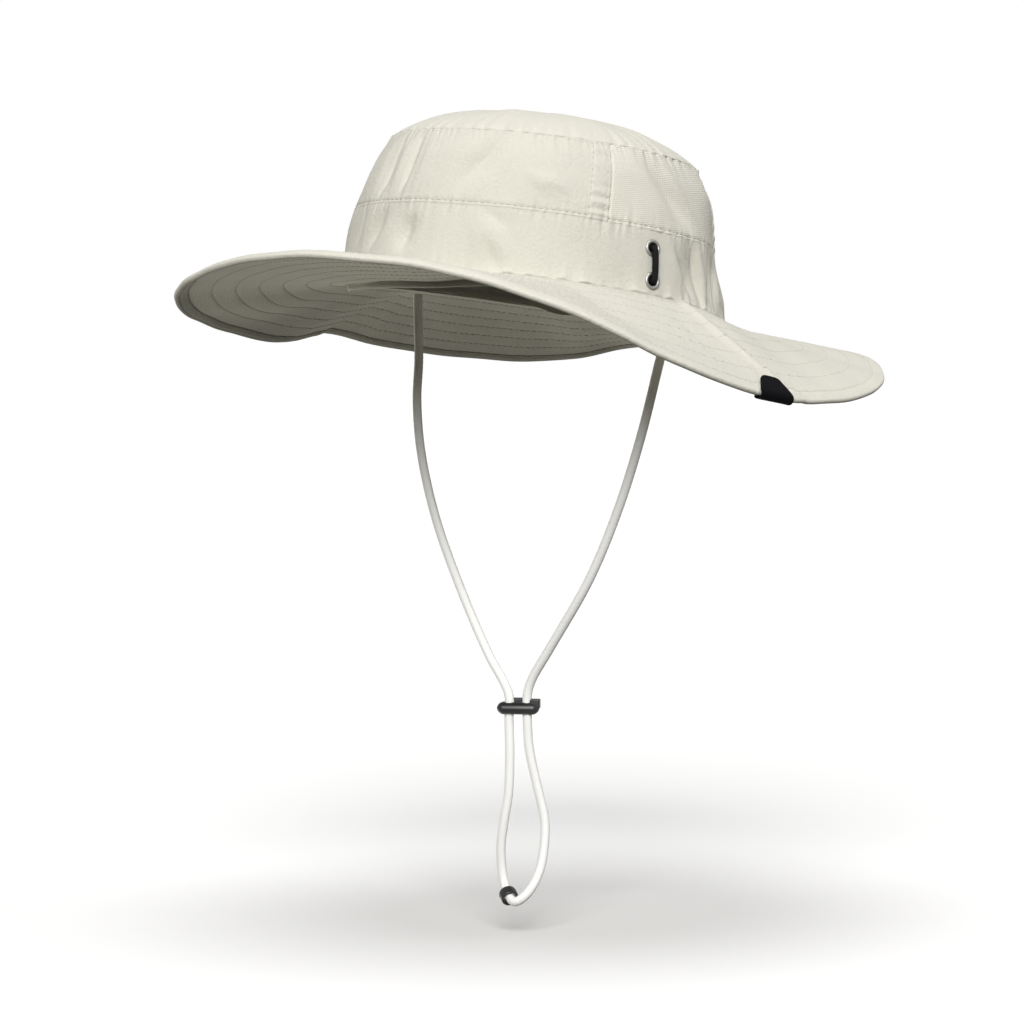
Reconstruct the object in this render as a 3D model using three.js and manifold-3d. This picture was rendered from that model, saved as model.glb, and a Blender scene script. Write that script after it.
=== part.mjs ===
// Wide-brimmed sun hat: a five-panel crown on a band, a stitched waved brim, a sweatband, an elastic
// loop in two eyelets at each ear, and a chin cord with a lock and a bead.
// Units are millimetres, up is +Z, the front of the hat points to -Y and the wearer's left to +X.
// The origin is the middle of the head opening, where the brim is sewn to the crown. The hat is tipped
// back about X through the origin, and the cord hangs straight down from it.

import * as THREE from 'three';
import { mergeVertices } from 'three/addons/utils/BufferGeometryUtils.js';
import Module from 'manifold-3d';

const wasm = await Module();
wasm.setup();

// Crown
const openingLength = 213;
const openingWidth = 182;
const hatPitch = 8;
const crownHeight = 76;
const bandHeight = 34.5;
const crownLean = 3;
const domeRise = 20;
const domeFullness = 3.3;
const tipBackRise = 1.5;
const clothWall = 1.2;
const seamGap = 0.3;
const foldDepth = 3.2;

// Brim
const brimWidth = 86;
const brimBackShift = 1.7;
const brimThickness = 2.2;
const brimMargin = 3;
const brimCurve = 1.25;
const seamLift = 8;
const brimFoldDepth = 4;

// Sweatband
const sweatbandDrop = 6;
const sweatbandTop = 30;
const sweatbandSlack = 6.1;

// Eyelets and the elastic in them
const eyeletHole = 4.5;
const eyeletBarrel = 5.6;
const eyeletFlange = 8.3;
const eyeletLip = 0.8;
const eyeletInnerFlange = 7.6;
const eyeletInnerLip = 0.5;
const elasticDiameter = 3.3;
const elasticBend = 2.2;
const elasticBulge = 1;

// Tab on the brim's edge
const tabReach = 14;
const tabThickness = 0.8;
const tabGap = 0.45;
const tabStart = 90.5;
const tabEnd = 99.5;

// Chin cord, its lock and its bead
const cordDiameter = 4.8;
const cordClearance = 0.5;
const cordEndGap = 1.6;
const lockLength = 22;
const lockDepth = 10;
const lockHeight = 6.4;
const lockEdge = 1.6;
const lockHoleSpacing = 9.6;
const lockBlockLength = 8.5;
const lockBlockDepth = 4;
const lockBlockRise = 1.8;
const lockTabLength = 5;
const lockTabDepth = 6.5;
const lockTabRise = 1.6;
const lockYaw = 40;
const beadDiameter = 9.4;
const beadClearance = 0.8;
const beadLength = 5.6;
const beadEdge = 1;

// How finely the rings are cut
const ringColumns = 72;
const tipColumns = 45;
const roundSides = 12;
const cordSides = 8;
const cordSteps = 78;
const cordSearchSteps = 800;
const elasticSteps = 32;

// Angles run in degrees from the front, over the wearer's left ear, to the back.
const leftEar = 88;
const rightEar = 360 - leftEar;

// Crown profile: heights as shares of crownHeight, reach as a share of the opening's half size.
const crownProfile = [
  { height: -0.1, reach: 1 },
  { height: 0, reach: 1 },
  { height: 0.45, reach: 0.964 },
  { height: 0.79, reach: 0.893 },
  { height: 1, reach: 0.806 },
];

// Panels of the crown: each side seam leans, so it has an angle at the band and one at the tip.
const panels = [
  { name: 'front_panel', bandStart: -66.5, tipStart: -74, bandEnd: 66.5, tipEnd: 74, columns: 28 },
  { name: 'mesh_panel_left', bandStart: 66.5, tipStart: 74, bandEnd: 130, tipEnd: 132, columns: 12 },
  { name: 'back_panel', bandStart: 130, tipStart: 132, bandEnd: 230, tipEnd: 228, columns: 20 },
  { name: 'mesh_panel_right', bandStart: 230, tipStart: 228, bandEnd: 293.5, tipEnd: 286, columns: 12 },
];

// Folds of the crown: angle of the fold's middle, how far it leans from low to high, half its width,
// where it starts and ends as shares of crownHeight, and its depth as a share of foldDepth.
const crownFolds = [
  { angle: -7, lean: 1, spread: 6, low: 0.46, high: 1, depth: -1 },
  { angle: 4, lean: 2, spread: 6, low: 0.46, high: 1, depth: -0.9 },
  { angle: 25, lean: 14, spread: 9, low: 0.5, high: 1, depth: -0.6 },
  { angle: 62, lean: -12, spread: 8, low: 0.5, high: 0.75, depth: 0.6 },
  { angle: -8, lean: 8, spread: 6, low: 0.1, high: 0.45, depth: -0.7 },
  { angle: 8, lean: 4, spread: 6, low: 0.1, high: 0.4, depth: -0.6 },
  { angle: 40, lean: -4, spread: 8, low: 0.05, high: 0.45, depth: 0.5 },
  { angle: 76, lean: 5, spread: 6, low: 0, high: 0.3, depth: -0.6 },
  { angle: 110, lean: -8, spread: 7, low: 0, high: 0.5, depth: -1 },
  { angle: 121, lean: 2, spread: 7, low: 0, high: 0.5, depth: -0.8 },
  { angle: 106, lean: -17, spread: 8, low: 0.48, high: 1, depth: -0.8 },
  { angle: 150, lean: 6, spread: 9, low: 0.1, high: 0.9, depth: -0.7 },
  { angle: 185, lean: -8, spread: 9, low: 0.2, high: 1, depth: -0.6 },
  { angle: 215, lean: 10, spread: 9, low: 0, high: 0.6, depth: -0.7 },
  { angle: 252, lean: 14, spread: 8, low: 0.48, high: 1, depth: -0.8 },
  { angle: 290, lean: -4, spread: 7, low: 0, high: 0.5, depth: -0.7 },
  { angle: 318, lean: -10, spread: 9, low: 0.5, high: 1, depth: -0.6 },
];

// Brim: height of the edge as a share of brimWidth, and of its sewn inner ring as a share of seamLift.
const brimSections = [
  { angle: 0, edge: -0.072, seam: 0 },
  { angle: 14, edge: -0.042, seam: 0 },
  { angle: 23, edge: -0.049, seam: 0 },
  { angle: 32, edge: -0.067, seam: 0 },
  { angle: 41, edge: -0.103, seam: 0 },
  { angle: 50, edge: -0.165, seam: 0 },
  { angle: 57, edge: -0.236, seam: 0 },
  { angle: 64, edge: -0.325, seam: 0 },
  { angle: 70, edge: -0.42, seam: 0 },
  { angle: 76, edge: -0.48, seam: 0 },
  { angle: 84, edge: -0.532, seam: 0 },
  { angle: 92, edge: -0.545, seam: 0 },
  { angle: 100, edge: -0.532, seam: 0 },
  { angle: 108, edge: -0.493, seam: 0 },
  { angle: 116, edge: -0.443, seam: 0 },
  { angle: 124, edge: -0.366, seam: 0 },
  { angle: 132, edge: -0.273, seam: 0 },
  { angle: 140, edge: -0.195, seam: 0.04 },
  { angle: 146, edge: -0.13, seam: 0.1 },
  { angle: 153, edge: -0.066, seam: 0.2 },
  { angle: 160, edge: -0.02, seam: 0.32 },
  { angle: 170, edge: 0.022, seam: 0.47 },
  { angle: 181, edge: 0.062, seam: 0.62 },
  { angle: 192, edge: 0.09, seam: 0.77 },
  { angle: 203, edge: 0.05, seam: 0.9 },
  { angle: 209, edge: 0.01, seam: 0.95 },
  { angle: 215, edge: -0.03, seam: 0.98 },
  { angle: 222, edge: -0.105, seam: 1 },
  { angle: 230, edge: -0.145, seam: 1 },
  { angle: 240, edge: -0.171, seam: 0.92 },
  { angle: 250, edge: -0.184, seam: 0.83 },
  { angle: 260, edge: -0.176, seam: 0.74 },
  { angle: 268, edge: -0.155, seam: 0.66 },
  { angle: 272, edge: -0.19, seam: 0.61 },
  { angle: 277, edge: -0.246, seam: 0.55 },
  { angle: 284, edge: -0.291, seam: 0.47 },
  { angle: 294, edge: -0.288, seam: 0.36 },
  { angle: 306, edge: -0.275, seam: 0.24 },
  { angle: 316, edge: -0.254, seam: 0.15 },
  { angle: 328, edge: -0.205, seam: 0.07 },
  { angle: 340, edge: -0.155, seam: 0.02 },
  { angle: 350, edge: -0.11, seam: 0 },
];

// Folds of the brim: angle at the crown, how far it leans towards the edge, half its width, and its
// depth as a share of brimFoldDepth, up when positive.
const brimFolds = [
  { angle: 107, lean: -12, spread: 12, depth: 1 },
  { angle: 270, lean: -2, spread: 9, depth: 0.8 },
  { angle: 60, lean: 8, spread: 12, depth: -0.5 },
  { angle: 300, lean: 6, spread: 16, depth: -0.7 },
  { angle: 215, lean: 0, spread: 14, depth: -0.5 },
];

// Brim rows from the inner ring to the edge, as shares of the brim's reach.
const brimRows = [0, 0.14, 0.32, 0.54, 0.78, 1];

// Sweatband profile: its height, how far it leans in as a share of sweatbandSlack, and how much of the
// inner ring's lift it rides on.
const sweatbandProfile = [
  { height: -sweatbandDrop, slack: 0.15, rides: 1 },
  { height: -brimThickness / 2 - seamGap, slack: 0, rides: 1 },
  { height: brimThickness / 2 + seamGap, slack: 0, rides: 1 },
  { height: sweatbandTop * 0.22, slack: 0.7, rides: 0.75 },
  { height: sweatbandTop, slack: 1, rides: 0 },
];

// The cord's points between its two ends, from the left ear through the lock, round the bead and back.
const cordRoute = [
  [87.2, 11.8, -14],
  [82.8, 9.8, -32],
  [74.2, 6.1, -67.4],
  [62, 2.3, -104.1],
  [44.2, -1.4, -141.5],
  [17.3, -5.2, -179.9],
  [6.4, -7.3, -196],
  [3.7, -7.9, -204],
  [3.7, -7.9, -218],
  [4, -6.9, -232],
  [6.4, -4, -250],
  [9.6, -1, -270],
  [10.3, -2.2, -284],
  [10.2, -5, -295],
  [9.4, -9.6, -303.4],
  [7, -13.8, -309],
  [3.7, -16, -311.4],
  [0.4, -16, -310.9],
  [-6.8, -13.3, -306.6],
  [-9.1, -12.9, -302.4],
  [-9.9, -13.5, -295.5],
  [-9, -15, -284],
  [-6.5, -15.2, -271],
  [-3.9, -14.4, -256],
  [-3.2, -14, -236],
  [-3.7, -14.1, -218],
  [-3.7, -14.1, -204.5],
  [-8.2, -13.9, -197.5],
  [-20.2, -13, -185],
  [-46.3, -11, -149.5],
  [-68.4, -9.1, -113],
  [-82, -7.3, -79],
  [-86.6, -6.1, -52],
  [-86.6, -4.8, -30],
  [-88, -3.9, -12],
];
const cordLeftAngle = 97;
const cordRightAngle = 271.5;
const cordInset = 0.4;
const lockCentre = [0, -11, -211];
const beadPoint = [-3.2, -14.65, -308.8];

const radians = THREE.MathUtils.degToRad;
const smooth = THREE.MathUtils.smoothstep;
const up = new THREE.Vector3(0, 0, 1);

// Value of one column of a table at a place, on a smooth curve through its rows.
// With a period the table runs round in a ring.
function tableValue(rows, place, value, at, period = 0) {
  const count = rows.length;
  const wrapped = period ? THREE.MathUtils.euclideanModulo(at, period) : at;
  const row = (index) => {
    const turns = period ? Math.floor(index / count) : 0;
    const inside = period ? index - turns * count : THREE.MathUtils.clamp(index, 0, count - 1);
    return { x: rows[inside][place] + turns * period, y: rows[inside][value] };
  };
  let index = 0;
  while (index < count - (period ? 1 : 2) && row(index + 1).x <= wrapped) index += 1;
  const [a, b, c, d] = [row(index - 1), row(index), row(index + 1), row(index + 2)];
  const span = c.x - b.x;
  const share = THREE.MathUtils.clamp((wrapped - b.x) / span, 0, 1);
  const slopeB = (c.y - a.y) / (c.x - a.x) * span;
  const slopeC = (d.y - b.y) / (d.x - b.x) * span;
  const s2 = share * share;
  const s3 = s2 * share;
  return (2 * s3 - 3 * s2 + 1) * b.y + (s3 - 2 * s2 + share) * slopeB
    + (3 * s2 - 2 * s3) * c.y + (s3 - s2) * slopeC;
}

// Shortest way round from one angle to another, in degrees.
function turnBetween(from, to) {
  return THREE.MathUtils.euclideanModulo(to - from + 180, 360) - 180;
}

// Height of a fold across its width: 1 in the middle and 0 at both sides.
function foldShape(share) {
  const inside = Math.max(0, 1 - share * share);
  return inside * inside;
}

// Point of the oval at an angle, with its half sizes scaled by a reach and cut by an inset.
function ovalPoint(angle, reach, inset, height) {
  const turn = radians(angle);
  return new THREE.Vector3(
    Math.sin(turn) * (openingWidth / 2 * reach - inset),
    -Math.cos(turn) * (openingLength / 2 * reach - inset),
    height,
  );
}

function seamHeight(angle) {
  return seamLift * tableValue(brimSections, 'angle', 'seam', angle, 360);
}

// The tip seam stands a little higher at the back than at the front.
function tipHeight(angle) {
  return crownHeight - tipBackRise * Math.cos(radians(angle));
}

function bandBottom(angle) {
  return seamHeight(angle) + brimThickness / 2 + seamGap;
}

// Outer surface of the crown before its folds. It leans a little forward towards the top.
function crownBase(angle, height) {
  const share = height / crownHeight;
  const point = ovalPoint(angle, tableValue(crownProfile, 'height', 'reach', share), 0, height);
  point.y -= crownLean * Math.max(share, 0);
  return point;
}

function crownNormal(angle, height) {
  const along = crownBase(angle + 0.5, height).sub(crownBase(angle - 0.5, height));
  const rise = crownBase(angle, height + 0.5).sub(crownBase(angle, height - 0.5));
  return along.cross(rise).normalize();
}

// The cloth lies flat round the eyelets.
function eyeletCalm(angle) {
  const nearest = Math.min(Math.abs(turnBetween(angle, leftEar)), Math.abs(turnBetween(angle, rightEar)));
  return smooth(nearest, 4, 10);
}

function crownFold(angle, height) {
  const share = height / crownHeight;
  let depth = 0;
  for (const fold of crownFolds) {
    const along = (share - fold.low) / (fold.high - fold.low);
    if (along > 0 && along < 1) {
      const across = turnBetween(fold.angle + fold.lean * along, angle) / fold.spread;
      depth += fold.depth * foldShape(across) * foldShape(2 * along - 1);
    }
  }
  const calm = height < bandHeight ? eyeletCalm(angle) : 1;
  return foldDepth * depth * calm;
}

// A point of the crown's cloth: sunk by a wall from its outer face, folds included.
function crownPoint(angle, height, sunk) {
  const normal = crownNormal(angle, height);
  return crownBase(angle, height).addScaledVector(normal, crownFold(angle, height) - sunk);
}

// Middle of the brim's thickness, from the inner ring at 0 to the edge at 1. A small negative share
// is the margin sewn under the crown.
function brimMiddle(angle, share) {
  const seam = seamHeight(angle);
  const edge = brimWidth * tableValue(brimSections, 'angle', 'edge', angle, 360);
  const drop = edge - seam;
  const reach = Math.sqrt(brimWidth * brimWidth - drop * drop);
  const outward = Math.max(share, 0);
  let lift = 0;
  for (const fold of brimFolds) {
    const across = turnBetween(fold.angle + fold.lean * outward, angle) / fold.spread;
    lift += fold.depth * foldShape(across) * foldShape(2 * outward - 1);
  }
  const height = seam + drop * outward ** brimCurve + lift * brimFoldDepth;
  const point = ovalPoint(angle, 1, -reach * share, height);
  point.y += brimBackShift * outward;
  return point;
}

function brimNormal(angle, share) {
  const step = 0.02;
  const along = brimMiddle(angle + 0.5, share).sub(brimMiddle(angle - 0.5, share));
  const outward = brimMiddle(angle, Math.min(share + step, 1)).sub(brimMiddle(angle, share - step));
  return outward.cross(along).normalize();
}

// A point of the brim's cloth, lifted off the middle of its thickness.
function brimPoint(angle, share, lifted) {
  return brimMiddle(angle, share).addScaledVector(brimNormal(angle, Math.max(share, 0.02)), lifted);
}

// A solid through section loops of the same number of points. A ring of sections closes on itself,
// and an open row of sections is capped at both ends, where each loop's halves face each other.
function sectionSolid(sections, closed) {
  const points = sections[0].length;
  const positions = sections.flat().flatMap((point) => [point.x, point.y, point.z]);
  const indices = [];
  const quad = (a, b, c, d) => indices.push(a, b, c, a, c, d);
  const spans = closed ? sections.length : sections.length - 1;
  for (let i = 0; i < spans; i += 1) {
    const here = i * points;
    const next = ((i + 1) % sections.length) * points;
    for (let k = 0; k < points; k += 1) {
      const after = (k + 1) % points;
      quad(here + k, next + k, next + after, here + after);
    }
  }
  if (!closed) {
    const last = (sections.length - 1) * points;
    for (let k = 0; k < points / 2 - 1; k += 1) {
      const facing = points - 1 - k;
      quad(k, k + 1, facing - 1, facing);
      quad(last + facing, last + facing - 1, last + k + 1, last + k);
    }
  }
  const geometry = new THREE.BufferGeometry();
  geometry.setAttribute('position', new THREE.Float32BufferAttribute(positions, 3));
  geometry.setIndex(indices);
  geometry.computeVertexNormals();
  return geometry;
}

// Cloth between an outer and an inner face: up the outer face and down the inner one.
function wallSection(heights, pointAt) {
  const outer = heights.map((height) => pointAt(height, 0));
  const inner = heights.map((height) => pointAt(height, clothWall)).reverse();
  return [...outer, ...inner];
}

function steps(from, to, count) {
  return Array.from({ length: count + 1 }, (_, i) => THREE.MathUtils.lerp(from, to, i / count));
}

function ringAngles(columns) {
  return steps(0, 360, columns).slice(0, columns);
}

function solidOf(geometry) {
  const bare = geometry.clone();
  bare.deleteAttribute('normal');
  bare.deleteAttribute('uv');
  const merged = mergeVertices(bare, 1e-4);
  return new wasm.Manifold(new wasm.Mesh({
    numProp: 3,
    vertProperties: new Float32Array(merged.attributes.position.array),
    triVerts: new Uint32Array(merged.index.array),
  }));
}

function geometryOf(solid) {
  const mesh = solid.getMesh();
  const geometry = new THREE.BufferGeometry();
  geometry.setAttribute('position', new THREE.BufferAttribute(new Float32Array(mesh.vertProperties), 3));
  geometry.setIndex(new THREE.BufferAttribute(new Uint32Array(mesh.triVerts), 1));
  geometry.computeVertexNormals();
  return geometry;
}

// Radius of a faceted hole whose flats still clear a diameter.
function holeRadius(diameter) {
  return diameter / 2 / Math.cos(Math.PI / roundSides);
}

function drillAlong(point, direction, diameter, length) {
  const radius = holeRadius(diameter);
  const geometry = new THREE.CylinderGeometry(radius, radius, length, roundSides);
  const turn = new THREE.Quaternion().setFromUnitVectors(new THREE.Vector3(0, 1, 0), direction);
  return geometry.applyQuaternion(turn).translate(point.x, point.y, point.z);
}

const materials = {
  cloth: { color: 0xebe8dc, roughness: 0.9, metalness: 0 },
  mesh: { color: 0xe6e3d6, roughness: 0.95, metalness: 0 },
  black: { color: 0x141414, roughness: 0.6, metalness: 0 },
  elastic: { color: 0x161616, roughness: 0.8, metalness: 0 },
  cord: { color: 0xf2f2ee, roughness: 0.8, metalness: 0 },
  steel: { color: 0xb9b9b6, roughness: 0.3, metalness: 1 },
};

function namedMesh(name, geometry, look) {
  const mesh = new THREE.Mesh(geometry, new THREE.MeshStandardMaterial(materials[look]));
  mesh.name = name;
  return mesh;
}

// Crown tip: a domed oval disc whose rim meets the panels' upper edge.
function crownTip() {
  const rings = [1, 0.94, 0.84, 0.68, 0.45, 0.2];
  const rim = tableValue(crownProfile, 'height', 'reach', 1);
  const domePoint = (angle, ring) => {
    const flat = ovalPoint(angle, rim * ring, 0, 0);
    const lean = tipBackRise * flat.y / (openingLength / 2 * rim);
    flat.z = crownHeight + seamGap + lean + domeRise * (1 - ring ** domeFullness);
    flat.y -= crownLean;
    return flat;
  };
  const domeNormal = (angle, ring) => {
    const along = domePoint(angle + 1, ring).sub(domePoint(angle - 1, ring));
    const inward = domePoint(angle, ring - 0.02).sub(domePoint(angle, ring));
    return ring === 1 ? crownNormal(angle, tipHeight(angle)) : along.cross(inward).normalize();
  };
  const under = (angle, ring) => domePoint(angle, ring).addScaledVector(domeNormal(angle, ring), -clothWall);
  const sections = ringAngles(tipColumns).map((angle) => [
    ...rings.map((ring) => domePoint(angle, ring)),
    ...rings.map((ring) => under(angle, ring)).reverse(),
  ]);
  const shell = sectionSolid(sections, true);
  const positions = Array.from(shell.attributes.position.array);
  const indices = [];
  const points = rings.length * 2;
  // The innermost outer and inner rings are closed by a fan each, in place of the strip between them.
  const strip = rings.length - 1;
  for (let i = 0; i < shell.index.count; i += 3) {
    const corners = [0, 1, 2].map((k) => shell.index.array[i + k]);
    const inStrip = corners.every((corner) => [strip, strip + 1].includes(corner % points));
    if (!inStrip) indices.push(...corners);
  }
  const top = positions.length / 3;
  positions.push(0, -crownLean, crownHeight + seamGap + domeRise);
  positions.push(0, -crownLean, crownHeight + seamGap + domeRise - clothWall);
  for (let i = 0; i < tipColumns; i += 1) {
    const here = i * points;
    const next = ((i + 1) % tipColumns) * points;
    indices.push(here + strip, next + strip, top);
    indices.push(next + strip + 1, here + strip + 1, top + 1);
  }
  const geometry = new THREE.BufferGeometry();
  geometry.setAttribute('position', new THREE.Float32BufferAttribute(positions, 3));
  geometry.setIndex(indices);
  geometry.computeVertexNormals();
  return namedMesh('crown_tip', geometry, 'cloth');
}

// Side panels of the crown, from the band to the tip, with a gap at each side seam.
function crownPanel(panel) {
  const rows = 5;
  const sections = steps(0, 1, panel.columns).map((across) => {
    const angleAt = (up01) => {
      const start = THREE.MathUtils.lerp(panel.bandStart, panel.tipStart, up01);
      const end = THREE.MathUtils.lerp(panel.bandEnd, panel.tipEnd, up01);
      const side = THREE.MathUtils.radToDeg(seamGap / openingWidth);
      return THREE.MathUtils.lerp(start + side, end - side, across);
    };
    const pointAt = (up01, sunk) => {
      const angle = angleAt(up01);
      const height = THREE.MathUtils.lerp(bandHeight + seamGap / 2, tipHeight(angle), up01);
      return crownPoint(angle, height, sunk);
    };
    return wallSection(steps(0, 1, rows - 1), pointAt);
  });
  const look = panel.name.startsWith('mesh') ? 'mesh' : 'cloth';
  return namedMesh(panel.name, sectionSolid(sections, false), look);
}

// The two eyelets of an ear share the height between the brim seam and the band seam.
function eyeletHeights(ear) {
  const bottom = seamHeight(ear);
  return [
    { place: 'lower', height: THREE.MathUtils.lerp(bottom, bandHeight, 0.26) },
    { place: 'upper', height: THREE.MathUtils.lerp(bottom, bandHeight, 0.74) },
  ];
}

// Band of the crown, pierced for the eyelets.
function crownBand() {
  const sections = ringAngles(ringColumns).map((angle) => {
    const pointAt = (up01, sunk) => {
      const height = THREE.MathUtils.lerp(bandBottom(angle), bandHeight - seamGap / 2, up01);
      return crownPoint(angle, height, sunk);
    };
    return wallSection(steps(0, 1, 3), pointAt);
  });
  let band = solidOf(sectionSolid(sections, true));
  for (const ear of [leftEar, rightEar]) {
    for (const { height } of eyeletHeights(ear)) {
      const middle = crownPoint(ear, height, clothWall / 2);
      const hole = drillAlong(middle, crownNormal(ear, height), eyeletBarrel + 2 * seamGap, clothWall * 6);
      band = band.subtract(solidOf(hole));
    }
  }
  return namedMesh('crown_band', geometryOf(band), 'cloth');
}

// Brim: under face outwards, round the turned edge, and back over the top.
function brim() {
  const margin = -brimMargin / brimWidth;
  const half = brimThickness / 2;
  const shares = [margin, ...brimRows];
  const sections = ringAngles(ringColumns).map((angle) => [
    ...shares.map((share) => brimPoint(angle, share, -half)),
    brimPoint(angle, 1 + half / brimWidth, 0),
    ...shares.map((share) => brimPoint(angle, share, half)).reverse(),
  ]);
  return namedMesh('brim', sectionSolid(sections, true), 'cloth');
}

// Black tab folded over the brim's edge behind the left ear.
function edgeTab() {
  const near = brimThickness / 2 + tabGap;
  const far = near + tabThickness;
  const shares = [1 - tabReach / brimWidth, 1 - tabReach / brimWidth / 2, 1];
  const facing = (angle, lifted) => [
    ...shares.map((share) => brimPoint(angle, share, -lifted)),
    brimPoint(angle, 1 + lifted / brimWidth, 0),
    ...shares.map((share) => brimPoint(angle, share, lifted)).reverse(),
  ];
  const sections = steps(tabStart, tabEnd, 4).map((angle) => [
    ...facing(angle, far),
    ...facing(angle, near).reverse(),
  ]);
  return namedMesh('edge_tab', sectionSolid(sections, false), 'black');
}

// Sweatband: sewn inside the brim's inner ring, hanging a little below it and leaning in above it.
function sweatband() {
  const sections = ringAngles(ringColumns).map((angle) => {
    const pointAt = (row, sunk) => {
      const inset = brimMargin + seamGap + sweatbandSlack * row.slack + sunk;
      return ovalPoint(angle, 1, inset, row.height + row.rides * seamHeight(angle));
    };
    return wallSection(sweatbandProfile, pointAt);
  });
  return namedMesh('sweatband', sectionSolid(sections, true), 'cloth');
}

// Eyelet: a rolled flange outside, a barrel through the band and a thin flange inside.
function eyelet(name, ear, height) {
  const inside = -clothWall - seamGap;
  const profile = [
    [eyeletHole / 2, inside - eyeletInnerLip],
    [eyeletInnerFlange / 2, inside - eyeletInnerLip],
    [eyeletInnerFlange / 2, inside],
    [eyeletBarrel / 2, inside],
    [eyeletBarrel / 2, seamGap],
    [eyeletFlange / 2, seamGap],
    [eyeletFlange * 0.44, seamGap + eyeletLip],
    [eyeletHole / 2, seamGap + eyeletLip * 0.8],
    [eyeletHole / 2, inside - eyeletInnerLip],
  ].map(([radius, along]) => new THREE.Vector2(radius, along));
  const mesh = namedMesh(name, new THREE.LatheGeometry(profile, roundSides), 'steel');
  mesh.position.copy(crownPoint(ear, height, 0));
  mesh.quaternion.setFromUnitVectors(new THREE.Vector3(0, 1, 0), crownNormal(ear, height));
  return mesh;
}

function circleShape(diameter, sides) {
  const shape = new THREE.Shape();
  for (let i = 0; i < sides; i += 1) {
    const turn = i / sides * 2 * Math.PI;
    const point = [Math.cos(turn) * diameter / 2, Math.sin(turn) * diameter / 2];
    if (i === 0) shape.moveTo(...point);
    else shape.lineTo(...point);
  }
  shape.closePath();
  return shape;
}

function tubeAlong(path, diameter, sides, count) {
  return new THREE.ExtrudeGeometry(circleShape(diameter, sides), { extrudePath: path, steps: count });
}

// Elastic: out of the upper eyelet, down the outside, in at the lower eyelet, and up behind the band.
function elasticLoop(name, ear) {
  const [lower, upper] = eyeletHeights(ear).map(({ height }) => crownPoint(ear, height, 0));
  const middle = lower.clone().lerp(upper, 0.5);
  const along = upper.clone().sub(lower);
  const half = along.length() / 2;
  along.normalize();
  const out = crownNormal(ear, bandHeight / 2);
  out.addScaledVector(along, -out.dot(along)).normalize();
  const radius = elasticDiameter / 2;
  const front = seamGap + eyeletLip + elasticBend;
  const behind = clothWall + 2 * seamGap + eyeletInnerLip + radius;
  const bend = elasticBend * (1 - Math.SQRT1_2);
  const outline = [
    [-behind, seamGap],
    [-behind, half - elasticBend],
    [-behind + bend, half - bend],
    [-behind + elasticBend, half],
    [seamGap + eyeletLip, half],
    [front - bend, half - bend],
    [front, half - elasticBend],
    [front + elasticBulge, 0],
  ];
  const returning = outline.slice(0, -1).reverse().map(([outwards, height]) => [outwards, -height]);
  const points = [...outline, ...returning].map(([outwards, height]) => middle.clone()
    .addScaledVector(out, outwards)
    .addScaledVector(along, height));
  const path = new THREE.CatmullRomCurve3(points, false, 'centripetal');
  return namedMesh(name, tubeAlong(path, elasticDiameter, cordSides, elasticSteps), 'elastic');
}

// Everything sewn into the hat is tipped back together.
const hat = new THREE.Group();
hat.rotation.x = -radians(hatPitch);
hat.add(crownTip(), ...panels.map(crownPanel), crownBand(), brim(), edgeTab(), sweatband());
for (const [side, ear] of [['left', leftEar], ['right', rightEar]]) {
  for (const { place, height } of eyeletHeights(ear)) {
    hat.add(eyelet(`eyelet_${side}_${place}`, ear, height));
  }
  hat.add(elasticLoop(`elastic_loop_${side}`, ear));
}
hat.updateMatrixWorld(true);

// The cord's ends are sewn in under the brim's inner ring.
function cordEnd(angle) {
  const end = ovalPoint(angle, 1, cordInset, seamHeight(angle) - brimThickness / 2 - cordEndGap);
  return end.applyMatrix4(hat.matrixWorld);
}

function cordCurve() {
  const points = cordRoute.map((point) => new THREE.Vector3(...point));
  return new THREE.CatmullRomCurve3(
    [cordEnd(cordLeftAngle), ...points, cordEnd(cordRightAngle)],
    false,
    'centripetal',
  );
}

function roundedBox(length, depth, height, edge) {
  const shape = new THREE.Shape();
  const x = length / 2 - edge;
  const y = depth / 2 - edge;
  const corner = Math.min(x, y);
  shape.absarc(x - corner, y - corner, corner, 0, Math.PI / 2);
  shape.absarc(corner - x, y - corner, corner, Math.PI / 2, Math.PI);
  shape.absarc(corner - x, corner - y, corner, Math.PI, 1.5 * Math.PI);
  shape.absarc(x - corner, corner - y, corner, 1.5 * Math.PI, 2 * Math.PI);
  shape.closePath();
  return new THREE.ExtrudeGeometry(shape, {
    depth: height - 2 * edge,
    bevelThickness: edge,
    bevelSize: edge,
    bevelSegments: 1,
    curveSegments: 4,
  }).translate(0, 0, edge - height / 2);
}

// Lock: a rounded bar with two upright holes, a block behind them and a squared end.
function cordLock() {
  const bar = roundedBox(lockLength, lockDepth, lockHeight, lockEdge);
  const blockHeight = lockHeight + lockBlockRise;
  const block = roundedBox(lockBlockLength, lockBlockDepth, blockHeight, lockEdge / 2)
    .translate(0, (lockDepth - lockBlockDepth) / 2 + lockEdge / 2, lockBlockRise / 2);
  const tabHeight = lockHeight / 2 + lockTabRise;
  const tab = roundedBox(lockTabLength, lockTabDepth, tabHeight, lockEdge / 4)
    .translate((lockLength - lockTabLength) / 2 + lockEdge / 4, 0, tabHeight / 2);
  let solid = solidOf(bar).add(solidOf(block)).add(solidOf(tab));
  for (const side of [-1, 1]) {
    const middle = new THREE.Vector3(side * lockHoleSpacing / 2, 0, 0);
    const hole = drillAlong(middle, up, cordDiameter + 2 * cordClearance, lockHeight * 3);
    solid = solid.subtract(solidOf(hole));
  }
  const mesh = namedMesh('cord_lock', geometryOf(solid), 'black');
  mesh.position.set(...lockCentre);
  mesh.rotation.z = radians(lockYaw);
  return mesh;
}

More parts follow.
